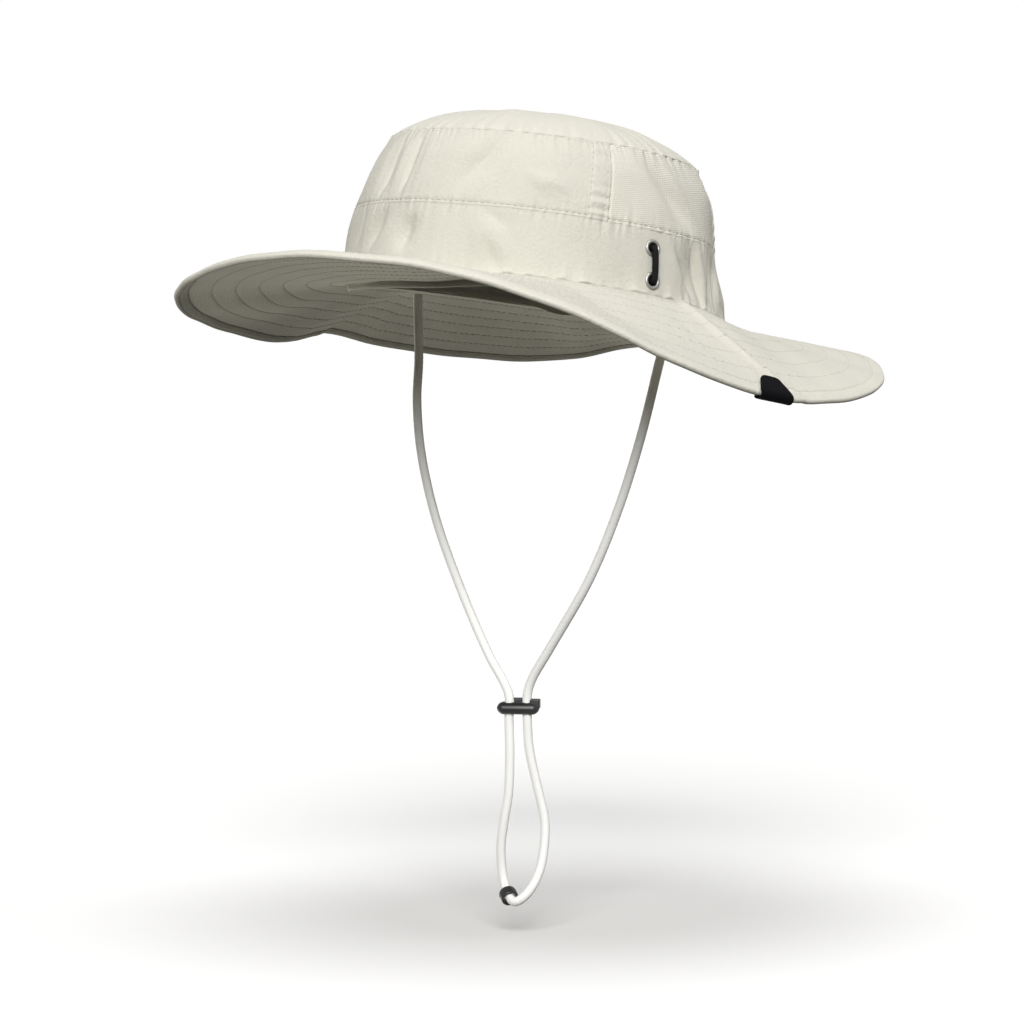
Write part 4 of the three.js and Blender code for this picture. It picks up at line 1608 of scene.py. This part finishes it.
@dataclass(frozen=True)
class Brim:
    """The brim: two layers sewn together in rows, with a rolled hem."""

    form: HatForm
    finishes: Finishes
    columns: int = 580
    margin: float = 3 * MM
    hem: float = 6 * MM
    row_pitch: float = 12.4 * MM
    hem_over: float = 0.35 * MM
    hem_under: float = 0.8 * MM
    groove_over: float = 0.07 * MM
    groove_under: float = 0.13 * MM
    groove_width: float = 0.75 * MM
    lip: float = 3.6 * MM
    lip_rise: float = 0.8 * MM
    wave: float = 0.3 * MM

    def rows(self) -> list[float]:
        """Returns the rows of stitches, as distances from the edge."""
        count = int((self.form.brim_width - self.hem - self.lip) / self.row_pitch)
        return [self.hem + self.row_pitch * row for row in range(count + 1)]

    def distances(self) -> Array:
        """Returns the distances from the edge at which the brim's section has points.

        Returns:
            The distances, from the edge inward.
        """
        near_edge = [0.5, 1.1, 2.0, 3.1, 4.2, 5.0]
        offsets = (-1.6, -0.8, -0.35, 0, 0.35, 0.8, 1.6)
        at_rows = [row + offset * MM for row in self.rows() for offset in offsets]
        between = [row + self.row_pitch * share for row in self.rows() for share in (0.3, 0.5, 0.7)]
        width = self.form.brim_width
        inner = [width - self.lip + shift * MM for shift in (-1, -0.3, 0.3, 1.2, 2.4, 3.4)]
        every = [*(value * MM for value in near_edge), *at_rows, *between, *inner, width + self.margin]
        kept = sorted(value for value in every if value <= width + self.margin + 1e-9)
        spaced = [kept[0]]
        for value in kept[1:]:
            if value - spaced[-1] > 0.2 * MM:
                spaced.append(value)
        return np.array(spaced)

    def half_thickness(self, angle: Array, distance: Array, top: Array) -> Array:
        """Returns half the brim's thickness: fuller in the hem, pulled in along each row.

        Args:
            angle: Angles round the hat.
            distance: Distances from the edge.
            top: True on the upper face.

        Returns:
            The distance from the brim's middle to its face.
        """
        half = self.form.brim_thickness / 2
        hem = np.where(top, self.hem_over, self.hem_under)
        rolled = 1 - step_between(distance, self.hem - 3.4 * MM, self.hem - 0.4 * MM) * 0.75
        thick = half - 0.1 * MM + hem * rolled * (distance < self.hem + 0.1 * MM)
        depth = np.where(top, self.groove_over, self.groove_under)
        for row in self.rows():
            thick = thick - depth * np.exp(-((distance - row) / self.groove_width) ** 2)
        from_seam = self.form.brim_width - distance
        lip = step_between(from_seam, self.lip + 0.3 * MM, self.lip - 0.5 * MM)
        thick = thick + np.where(top, self.lip_rise * lip, 0)
        puff = 0.12 * MM * ripples(angle, 90, 160, 41)
        nearest = np.minimum.reduce([np.abs(distance - row) for row in self.rows()])
        return thick + puff * np.exp(-nearest / (2.2 * MM))

    def swell(self, angle: Array, distance: Array) -> Array:
        """Returns the brim's slow waves, strongest at its edge."""
        edge = np.exp(-distance / (30 * MM))
        return self.wave * (ripples(angle, 9, 34, 43) * edge + 0.5 * rumple(angle, distance, 60 * MM, 45))

    def face(self, angle: Array, distance: Array, top: Array) -> Array:
        """Gives points of the brim's upper or lower face in the frame's position.

        Args:
            angle: Angles round the hat, in degrees.
            distance: Distances from the brim's edge.
            top: True on the upper face.

        Returns:
            The points.
        """
        side = np.where(top, 1.0, -1.0)
        lift = self.swell(angle, distance) + side * self.half_thickness(angle, distance, top)
        share = 1 - distance / self.form.brim_width
        return self.form.tipped(self.form.brim_point(angle, share, lift))

    def body(self) -> Piece:
        """Builds the brim as one closed ring with a round edge.

        Returns:
            The brim.
        """
        form = self.form
        distances = self.distances()
        count = len(distances)
        arc = np.radians([-62, -32, 0, 32, 62])
        section = 2 * count + len(arc)

        def distance_at(point: Array) -> Array:
            """Returns how far from the edge points of the section are."""
            row = np.where(point < count, count - 1 - point, np.clip(point - count - len(arc), 0, count - 1))
            return distances[row]

        def place(angle: Array, point: Array) -> Array:
            """Gives points of the section, with its round edge.

            Args:
                angle: Angles round the hat, in degrees.
                point: Numbers of points in the section.

            Returns:
                The points.
            """
            on_arc = (point >= count) & (point < count + len(arc))
            flat = self.face(angle, distance_at(point), point >= count)
            turn = arc[np.clip(point - count, 0, len(arc) - 1)]
            outermost = np.full(len(angle), distances[0])
            over, below = (self.half_thickness(angle, outermost, np.full(len(angle), top))
                           for top in (True, False))
            middle, radius = (over - below) / 2, (over + below) / 2
            out = distances[0] - radius * 0.9 * np.cos(turn)
            lift = self.swell(angle, distances[0]) + middle + radius * np.sin(turn)
            edge = self.form.tipped(self.form.brim_point(angle, 1 - out / self.form.brim_width, lift))
            return np.where(on_arc[:, None], edge, flat)

        def uv(angle: Array, point: Array) -> Array:
            """Gives places on the brim's UV map."""
            radius = (form.opening_length + form.opening_width) / 4 + form.brim_width / 2
            return np.stack([np.radians(angle) * radius, distance_at(point)], -1)

        def shade(angle: Array, point: Array) -> Array:
            """Paints shade into the rows of stitches, the hem's underside, the edge's lower curve and the
            groove by the seam.

            Args:
                angle: Angles round the hat, in degrees.
                point: Numbers of points in the section.

            Returns:
                The shades, from 0 to 1 and a little over at the edge.
            """
            distance = distance_at(point)
            rows = self.rows()
            nearest = np.minimum.reduce([np.abs(distance - line) for line in rows[1:]])
            under = point < count
            # Painted shade: stitch rows, stronger on the underside, then the hem's underside, the lip's
            # groove and the edge's lower curve.
            dark = 0.1 * np.exp(-(nearest / (0.8 * MM)) ** 2) * np.where(under, 1, 0.2)
            hem = np.exp(-((distance - rows[0] - 0.3 * MM) / (0.6 * MM)) ** 2) * np.where(under, 1.6, 0.15)
            hem = hem + 0.05 * under * (distance < rows[0])
            edge = (point >= count) & (point < count + 2) | under & (distance < 1.2 * MM)
            lip = 0.4 * np.exp(-((form.brim_width - distance - self.lip) / (0.5 * MM)) ** 2) * ~under
            return np.maximum(dark + hem + lip, 1.3 * edge)

        piece = ring_wall("brim_cloth", self.columns, section, place, uv, shade)
        return dress(piece, self.finishes.brim_cloth, "brim_cloth", "brim")

    def sew(self, thread: Thread) -> None:
        """Sews the rows of stitches on both faces, and the row round the crown's seam.

        Args:
            thread: The thread.
        """
        angle = np.linspace(0, 360, 1441)
        for top in (True, False):
            lines = []
            for distance in self.rows():
                lines.append(self.stitch_line(angle, distance, top))
            if top:
                lines.append(self.stitch_line(angle, self.form.brim_width - self.lip + 0.9 * MM, top))
            piece = thread.sew("brim_stitches_top" if top else "brim_stitches_under", lines)
            # The underside's stitches take the darker copy of the thread as painted shade.
            dress(piece, self.finishes.pale_thread if top else self.finishes.dark_thread, "brim_cloth")

    def stitch_line(self, angle: Array, distance: float, top: bool) -> tuple[Array, Array]:
        """Returns a row of stitches on one face, and the directions out of it.

        Args:
            angle: Angles round the hat, in degrees.
            distance: The row's distance from the edge.
            top: True on the upper face.

        Returns:
            The row's places and the directions.
        """
        away = np.full_like(angle, distance)
        line = self.face(angle, away, np.full(len(angle), top))
        up = self.form.tipped(self.form.brim_normal(angle, 1 - away / self.form.brim_width))
        out = up if top else -up
        return line + out * 0.06 * MM, out

    def build(self, thread: Thread) -> None:
        """Builds the brim and its stitching."""
        self.body()
        self.sew(thread)


@dataclass(frozen=True)
class EdgeTab:
    """The bare black tab folded over the brim's edge behind the left ear."""

    form: HatForm
    finishes: Finishes
    brim: Brim
    start: float = 90.6
    end: float = 98.2
    lean: float = 3.2
    width: float = 15 * MM
    reach: float = 11.5 * MM
    thickness: float = 0.8 * MM
    gap: float = 0.3 * MM
    corner: float = 3 * MM
    corner_angle: float = 1.3

    def build(self) -> Piece:
        """Builds the tab, with its two inner corners rounded.

        Returns:
            The tab.
        """
        form = self.form
        near = form.brim_thickness / 2 + self.brim.hem_under + self.gap
        arc = near * math.pi
        total = 2 * self.reach + arc

        def place(across: Array, along: Array) -> Array:
            """Gives points of the tab's inner face.

            Args:
                across: Shares across the patch.
                along: Shares of the way round the edge, from the underside.

            Returns:
                The points.
            """
            walked = along * total
            from_end = np.minimum(walked, total - walked)
            round_in = 1 - np.clip(from_end / self.corner, 0, 1)
            cut = 2 * (1 - np.sqrt(np.maximum(1 - round_in ** 2, 0))) * self.corner_angle
            narrowed = self.end - self.start - cut
            angle = (self.start + self.end) / 2 + (across - 0.5) * narrowed
            turn = (np.clip(walked - self.reach, 0, arc) / arc - 0.5) * math.pi
            inward = self.reach - from_end * (from_end < self.reach) - self.reach * (from_end >= self.reach)
            on_arc = from_end >= self.reach
            distance = np.where(on_arc, -near * 0.9 * np.cos(turn), inward)
            side = np.where(walked > total / 2, 1.0, -1.0)
            angle = angle + self.lean * (1 - across) * np.maximum(distance, 0) / self.reach
            lift = np.where(on_arc, near * np.sin(turn), side * near)
            swell = self.brim.swell(angle, np.maximum(distance, 0))
            return form.tipped(form.brim_point(angle, 1 - distance / form.brim_width, lift + swell))

        piece = cloth_patch("edge_tab_cloth", 28, 110, place)
        shares = uv_points(piece)
        set_uv(piece, shares * (self.width, total))
        edge = np.minimum(shares[:, 0], 1 - shares[:, 0]) * self.width
        # Paints shade along a line 1.2 mm in from each side edge of the tab.
        set_shade(piece, np.exp(-((edge - 1.2 * MM) / (0.4 * MM)) ** 2))
        finish_with(piece, "SOLIDIFY", thickness=self.thickness, offset=1)
        smooth(piece, 50)
        return dress(piece, self.finishes.tab, "tab_fabric", "edge_tab")


@dataclass(frozen=True)
class Sweatband:
    """The slack knit band inside the opening."""

    form: HatForm
    finishes: Finishes
    columns: int = 480
    margin: float = 3 * MM
    drop: float = 6 * MM
    top: float = 30 * MM
    slack: float = 6.1 * MM
    fold_depth: float = 1.4 * MM
    rows: int = 50
    front_drop: float = 3.9 * MM
    back_drop: float = 0.3 * MM
    back_start: float = 112.0
    back_end: float = 326.0

    def build(self) -> Piece:
        """Builds the band, with its slack folds inside the opening.

        Returns:
            The band.
        """
        form = self.form
        seam = form.brim_thickness / 2 + form.seam_gap
        heights = [-self.drop, -seam, seam, self.top * 0.22, self.top]
        leans = [0.15, 0, 0, 0.7, 1]
        rides = [1, 1, 1, 0.75, 0]
        section = 2 * (self.rows + 1)

        def height_at(point: Array) -> Array:
            """Returns the heights of points of the section before the band hangs."""
            row = np.minimum(point, section - 1 - point)
            return -self.drop + (self.top + self.drop) * row / self.rows

        def place(angle: Array, point: Array) -> Array:
            """Gives points of the section.

            Args:
                angle: Angles round the hat, in degrees.
                point: Numbers of points in the section.

            Returns:
                The points.
            """
            inner = point > self.rows
            height = height_at(point)
            lean = through(heights, leans, height)
            ride = through(heights, rides, height)
            inset = self.margin + form.seam_gap + self.slack * lean + np.where(inner, form.wall, 0)
            free = step_between(height, seam, self.top * 0.5) + 0.35 * step_between(-height, seam, self.drop)
            inset = inset + self.fold_depth * ripples(angle + height * 900, 7, 26, 51) * free
            inset = np.maximum(inset, self.margin + form.seam_gap)
            hem = 0.3 * MM * np.exp(-((height + self.drop - 1.5 * MM) / (0.8 * MM)) ** 2)
            inset = inset - np.where(inner, -hem, hem)
            height = np.maximum(height, 0) + np.minimum(height, 0) * self.hang(angle) / self.drop
            return form.tipped(form.oval(angle, 1, inset, height + ride * form.seam_height(angle)))

        def uv(angle: Array, point: Array) -> Array:
            """Gives places on the band's UV map."""
            return np.stack([angle * math.pi * form.opening_length / 360, height_at(point) + self.drop], -1)

        def shade(angle: Array, point: Array) -> Array:
            """Paints shade into the band, a little everywhere and more further up inside the crown."""
            return 0.2 + 0.6 * step_between(height_at(point), -1 * MM, 6 * MM)

        piece = ring_wall("sweatband_cloth", self.columns, section, place, uv, shade)
        return dress(piece, self.finishes.sweatband, "sweatband_cloth", "sweatband")

    def hang(self, angle: Array) -> Array:
        """Returns how far the lower edge hangs below the brim's seam.

        Args:
            angle: Angles round the hat, in degrees.

        Returns:
            The lengths that hang.
        """
        around = np.mod(angle, 360)
        back = step_between(around, self.back_start, self.back_start + 30)
        back = back * (1 - step_between(around, self.back_end - 12, self.back_end))
        slack = 5 * MM * (0.8 + 0.5 * ripples(angle, 8, 30, 53)) * fold_shape(turn_between(211, angle) / 30)
        return self.front_drop + (self.back_drop + slack - self.front_drop) * back


@dataclass(frozen=True)
class EarLacing:
    """The two eyelets at an ear and the elastic that runs through them."""

    form: HatForm
    finishes: Finishes
    ear: Ear
    hole: float = 4.9 * MM
    barrel: float = 5.6 * MM
    flange: float = 8.9 * MM
    inner_flange: float = 7.6 * MM
    lip: float = 0.8 * MM
    inner_lip: float = 0.5 * MM
    elastic: float = 3.3 * MM
    bend: float = 1.1 * MM
    bulge: float = 0.5 * MM
    turned: float = 11.0

    def profile(self) -> list[tuple[float, float]]:
        """Returns the eyelet's section, as radii and heights over the cloth's outer face.

        Returns:
            The section's corners, in order.
        """
        gap = self.form.seam_gap
        inside = -self.form.wall - gap
        middle = (self.flange + self.hole) / 4
        half = (self.flange - self.hole) / 4
        rolled = [(middle - half * math.cos(turn), 0.1 * MM + self.lip * 1.2 * math.sin(turn))
                  for turn in np.linspace(0, math.pi, 12)]
        return [(self.hole / 2, inside - self.inner_lip), *rolled, (self.barrel / 2, 0.05 * MM),
                (self.barrel / 2, inside), (self.inner_flange / 2, inside),
                (self.inner_flange / 2, inside - self.inner_lip)]

    def eyelet(self, place: str, height: float) -> Piece:
        """Spins one eyelet and sets it into the band.

        Args:
            place: lower or upper.
            height: Its height on the crown.

        Returns:
            The eyelet.
        """
        side = self.ear.name.lower()
        forward = -self.turned if self.ear is Ear.LEFT else self.turned
        out = Vector(self.form.tipped(self.form.crown_normal(self.ear.value + forward, height)))
        middle = Vector(self.form.tipped(self.form.crown_point(self.ear.value, height, 0.35 * MM)))
        piece = spun(f"eyelet_{side}_{place}_metal", self.profile(), out, middle)
        smooth(piece, 50)
        return dress(piece, self.finishes.nickel, "eyelet_metal", f"eyelet_{side}_{place}")

    def loop(self) -> Piece:
        """Threads the elastic out of the upper eyelet, down the outside and in at the lower one.

        Returns:
            The elastic.
        """
        form = self.form
        low, high = (form.tipped(form.crown_point(self.ear.value, height, 0))
                     for height in eyelet_heights(form, self.ear))
        middle, along = (low + high) / 2, high - low
        half = float(np.linalg.norm(along)) / 2
        along = unit(along)
        out = form.tipped(form.crown_normal(self.ear.value, form.band_height / 2))
        out = unit(out - along * (out @ along))
        front = form.seam_gap + self.lip + self.bend
        behind = form.wall + 2 * form.seam_gap + self.inner_lip + self.elastic / 2
        cut = self.bend * (1 - math.sqrt(0.5))
        outline = [(-behind, form.seam_gap), (-behind, half - self.bend), (-behind + cut, half - cut),
                   (-behind + self.bend, half), (form.seam_gap + self.lip, half), (front - cut, half - cut),
                   (front, half - self.bend), (front + self.bulge, 0)]
        outline += [(outwards, -up) for outwards, up in reversed(outline[:-1])]
        path = follow_curve([middle + out * outwards + along * up for outwards, up in outline], 150)
        side = self.ear.name.lower()
        piece = soft_tube(f"elastic_{side}_cord", path, self.elastic / 2, 20)
        set_shade(piece, np.zeros(len(piece.data.vertices)))
        return dress(piece, self.finishes.elastic, "elastic", f"elastic_loop_{side}")

    def build(self) -> None:
        """Builds both eyelets and the elastic."""
        for place, height in zip(("lower", "upper"), eyelet_heights(self.form, self.ear)):
            self.eyelet(place, height)
        self.loop()


@dataclass(frozen=True)
class ChinCord:
    """The chin cord, which runs from ear to ear through the lock and the bead."""

    form: HatForm
    finishes: Finishes
    diameter: float = 4.8 * MM
    end_gap: float = 1.6 * MM
    left_angle: float = 97.0
    right_angle: float = 271.5
    inset: float = 0.4 * MM
    braid_ripple: float = 0.06 * MM

    def end(self, angle: float) -> Array:
        """Returns where an end of the cord is sewn in under the brim's inner ring.

        Args:
            angle: The end's angle round the hat, in degrees.

        Returns:
            The end's place.
        """
        at = np.array(angle)
        height = self.form.seam_height(at) - self.form.brim_thickness / 2 - self.end_gap
        return self.form.tipped(self.form.oval(at, 1, self.inset, height))

    def path(self, steps: int = 900) -> Array:
        """Returns the cord's middle line."""
        return follow_curve([self.end(self.left_angle), *CORD_ROUTE, self.end(self.right_angle)], steps)

    def build(self, with_pieces: list[Piece]) -> Piece:
        """Builds the cord.

        Args:
            with_pieces: The lock and the bead on it; not used.

        Returns:
            The cord.
        """
        path = self.path()

        def radius(walked: Array, turn: Array) -> Array:
            """Gives the braid's uneven radius.

            Args:
                walked: Lengths walked along the cord.
                turn: Turns round it, in radians.

            Returns:
                The radii.
            """
            twist = np.sin(walked / (2.6 * MM) * 2 * math.pi + 2 * turn)
            counter = np.sin(walked / (2.6 * MM) * 2 * math.pi - 2 * turn)
            return self.diameter / 2 + self.braid_ripple * np.maximum(twist, counter)

        piece = soft_tube("chin_cord_braid", path, radius, 16)
        set_shade(piece, np.zeros(len(piece.data.vertices)))
        dress(piece, self.finishes.cord, "cord", "chin_cord")
        return piece


@dataclass(frozen=True)
class CordLock:
    """The black lock that both strands of the cord run through."""

    finishes: Finishes
    cord_diameter: float = 4.8 * MM
    clearance: float = 0.5 * MM
    length: float = 22 * MM
    depth: float = 10 * MM
    height: float = 6.4 * MM
    edge: float = 1.6 * MM
    corner: float = 3.4 * MM
    hole_spacing: float = 9.6 * MM
    block: tuple[float, float, float] = (8.5 * MM, 4 * MM, 1.8 * MM)
    end_tab: tuple[float, float, float] = (5 * MM, 6.5 * MM, 1.6 * MM)
    yaw: float = 40.0
    centre: tuple[float, float, float] = (0, -0.011, -0.211)

    def box(self, size: tuple[float, float, float], middle: tuple[float, float, float], corner: float,
            edge: float) -> Piece:
        """Adds a box with round upright corners and softened edges.

        Args:
            size: Its length, depth and height.
            middle: Its middle.
            corner: Radius of its upright corners.
            edge: Radius of all its edges.

        Returns:
            The box.
        """
        deselect_all()
        bpy.ops.mesh.primitive_cube_add(size=1, location=middle)
        piece = named("lock_block")
        bpy.ops.transform.resize(value=size)
        bpy.ops.object.transform_apply(location=True, rotation=False, scale=True)
        bpy.ops.object.mode_set(mode="EDIT")
        bpy.ops.mesh.select_all(action="DESELECT")
        bpy.ops.object.mode_set(mode="OBJECT")
        mesh = piece.data
        for line in mesh.edges:
            low, high = (mesh.vertices[i].co for i in line.vertices)
            line.select = abs(low.z - high.z) > 0.1 * MM
        bpy.ops.object.mode_set(mode="EDIT")
        bpy.ops.mesh.select_mode(type="EDGE")
        bpy.ops.mesh.bevel(offset=corner, segments=10, affect="EDGES")
        bpy.ops.object.mode_set(mode="OBJECT")
        finish_with(piece, "BEVEL", width=edge, segments=4, limit_method="ANGLE",
                    angle_limit=math.radians(40))
        return piece

    def build(self) -> Piece:
        """Builds the lock.

        Returns:
            The lock.
        """
        bar = self.box((self.length, self.depth, self.height), (0, 0, 0), self.corner, self.edge * 0.7)
        wide, deep, rise = self.block
        tall = self.height * 0.9 + rise
        parts = [self.box((wide, deep, tall),
                          (0, (self.depth - deep) / 2 + self.edge / 2, rise / 2 + self.height * 0.05),
                          0.9 * MM, self.edge / 3)]
        wide, deep, rise = self.end_tab
        tall = self.height / 2 + rise
        parts.append(self.box((wide, deep, tall), ((self.length - wide) / 2 + self.edge / 4, 0, tall / 2),
                              0.7 * MM, self.edge / 4))
        for part in parts:
            finish_with(bar, "BOOLEAN", operation="UNION", object=part, solver="EXACT")
            bpy.data.objects.remove(part)
        for side in (-1, 1):
            deselect_all()
            bpy.ops.mesh.primitive_cylinder_add(vertices=40, radius=self.cord_diameter / 2 + self.clearance,
                                                depth=self.height * 3,
                                                location=(side * self.hole_spacing / 2, 0, 0))
            hole = named("lock_hole")
            finish_with(bar, "BOOLEAN", operation="DIFFERENCE", object=hole, solver="EXACT")
            bpy.data.objects.remove(hole)
        bar.name = bar.data.name = "cord_lock_body"
        points = points_of(bar)
        turn = math.radians(self.yaw)
        x = points[:, 0] * math.cos(turn) - points[:, 1] * math.sin(turn)
        y = points[:, 0] * math.sin(turn) + points[:, 1] * math.cos(turn)
        move_points(bar, np.stack([x, y, points[:, 2]], -1) + self.centre)
        smooth(bar, 35)
        return dress(bar, self.finishes.plastic, "lock_plastic", "cord_lock")


@dataclass(frozen=True)
class CordBead:
    """The black bead round the bottom of the cord's loop."""

    finishes: Finishes
    diameter: float = 9.4 * MM
    hole: float = 6.4 * MM
    length: float = 5.6 * MM
    squareness: float = 0.62
    place: tuple[float, float, float] = (-0.0032, -0.01465, -0.3088)

    def build(self, path: Array) -> Piece:
        """Spins the bead and turns it along the cord.

        Args:
            path: The cord's middle line.

        Returns:
            The bead.
        """
        nearest = int(np.argmin(np.linalg.norm(path - np.array(self.place), axis=1)))
        along = Vector(path[nearest + 1] - path[nearest - 1]).normalized()
        thick = (self.diameter - self.hole) / 4
        middle = (self.diameter + self.hole) / 4
        outline = []
        for turn in np.linspace(0, 2 * math.pi, 28, endpoint=False):
            cos, sin = math.cos(turn), math.sin(turn)
            outline.append((middle + thick * math.copysign(abs(cos) ** self.squareness, cos),
                            self.length / 2 * math.copysign(abs(sin) ** self.squareness, sin)))
        piece = spun("cord_bead_body", outline, along, Vector(path[nearest]))
        smooth(piece, 60)
        return dress(piece, self.finishes.plastic, "bead_plastic", "cord_bead")


def toward(azimuth: float, elevation: float) -> Vector:
    """Gives the direction from the hat to a viewer or a light.

    Args:
        azimuth: Degrees from the front, over the wearer's left ear.
        elevation: Degrees above level.

    Returns:
        The direction.
    """
    around, up = math.radians(azimuth), math.radians(elevation)
    return Vector((math.sin(around) * math.cos(up), -math.cos(around) * math.cos(up), math.sin(up)))


@dataclass(frozen=True)
class Studio:
    """The camera, the pale floor and the soft lights."""

    azimuth: float = 48.0
    elevation: float = 2.6
    distance: float = 1.8
    aim_right: float = -11.4 * MM
    aim_up: float = -109.1 * MM
    lens: float = 121.75
    floor_height: float = -0.33
    top_light: float = 1.3
    front_light: float = 3.3
    side_light: float = 0.45
    low_light: float = 1.8
    sky: float = 0.25
    ground: float = 0.04
    reflected: float = 0.6

    def camera(self) -> None:
        """Sets up the camera at the photograph's viewing angle."""
        back = toward(self.azimuth, self.elevation)
        right = toward(self.azimuth + 90, 0)
        place = right * self.aim_right + back.cross(right) * self.aim_up + back * self.distance
        deselect_all()
        bpy.ops.object.camera_add(location=place, rotation=(-back).to_track_quat("-Z", "Y").to_euler())
        camera = named("studio_camera")
        camera.data.lens = self.lens
        camera.data.sensor_width = 36
        camera.data.clip_end = 100
        bpy.context.scene.camera = camera

    def floor(self) -> None:
        """Lays the pale floor, which sends no light back up under the brim."""
        deselect_all()
        bpy.ops.mesh.primitive_plane_add(size=60, location=(0, 0, self.floor_height))
        floor = named("studio_floor")
        bpy.ops.object.transform_apply(location=True, rotation=False, scale=True)
        shader = Shader("pale_floor")
        shade = shader.mixed(shader.noise(0.7, 2), rgba((0.85, 0.85, 0.85)), rgba((0.88, 0.88, 0.88)))
        shader.feed(shader.surface.inputs["Base Color"], shade)
        shader.surface.inputs["Roughness"].default_value = 0.9
        shader.surface.inputs["Specular IOR Level"].default_value = 0
        floor.data.materials.append(shader.material)
        floor.visible_diffuse = False
        floor.visible_glossy = False
        floor.visible_shadow = False

    def light(self, name: str, azimuth: float, elevation: float, energy: float, spread: float,
              color: tuple[float, float, float]) -> None:
        """Adds one soft light from a direction.

        Args:
            name: The light's name.
            azimuth: Where it shines from, as a view's azimuth.
            elevation: How high it stands, in degrees.
            energy: Its strength.
            spread: How wide it looks, in degrees.
            color: Its colour.
        """
        back = toward(azimuth, elevation)
        deselect_all()
        bpy.ops.object.light_add(type="SUN", location=back * 3,
                                 rotation=back.to_track_quat("Z", "Y").to_euler())
        lamp = named(name)
        lamp.data.energy = energy
        lamp.data.angle = math.radians(spread)
        lamp.data.color = color

    def world(self) -> None:
        """Sets the studio's even light: pale above, dim below, and white where the camera sees it."""
        world = bpy.data.worlds.new("studio")
        world.use_nodes = True
        bpy.context.scene.world = world
        nodes = Nodes(world.node_tree)
        rise = nodes.add("SeparateXYZ", {0: nodes.add("TexCoord").outputs["Generated"]}).outputs[2]
        height = nodes.add("MapRange", {"Value": rise, "From Min": 0.05, "From Max": 0.45}).outputs["Result"]
        glow = nodes.mixed(height, rgba((1.0, 0.975, 0.83), self.ground), rgba((1, 1, 1), self.sky))
        ray = nodes.add("LightPath")
        glow = nodes.mixed(ray.outputs["Is Glossy Ray"], glow, rgba((1, 1, 1), self.reflected))
        glow = nodes.mixed(ray.outputs["Is Camera Ray"], glow, (1, 1, 1, 1))
        nodes.feed(nodes.tree.nodes["Background"].inputs["Color"], glow)

    def build(self) -> None:
        """Sets up the whole studio."""
        bpy.context.scene.view_settings.view_transform = "Standard"
        self.camera()
        self.floor()
        self.light("top_light", 36, 78, self.top_light, 34, (1, 1, 1))
        self.light("front_light", 46, 29, self.front_light, 34, (1, 0.99, 0.97))
        self.light("side_light", 125, 40, self.side_light, 50, (1, 1, 1))
        self.light("low_light", -90, -35, self.low_light, 50, (1, 0.98, 0.86))
        self.world()


def main() -> None:
    """Builds the hat around the frame, piece by piece."""
    logging.basicConfig(level=logging.INFO, format="%(name)s: %(message)s")
    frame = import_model()
    LOG.info("frame: %d nodes", len(frame["nodes"]))
    deselect_all()
    finishes = Finishes.make()
    form = HatForm()
    Studio().build()
    cord = ChinCord(form, finishes)
    on_cord = [CordLock(finishes).build(), CordBead(finishes).build(cord.path())]
    cord.build(on_cord)
    thread = Thread()
    Crown(form, finishes).build(thread)
    brim = Brim(form, finishes)
    brim.build(thread)
    EdgeTab(form, finishes, brim).build()
    Sweatband(form, finishes).build()
    for ear in Ear:
        EarLacing(form, finishes, ear).build()


if __name__ == "__main__":
    main()
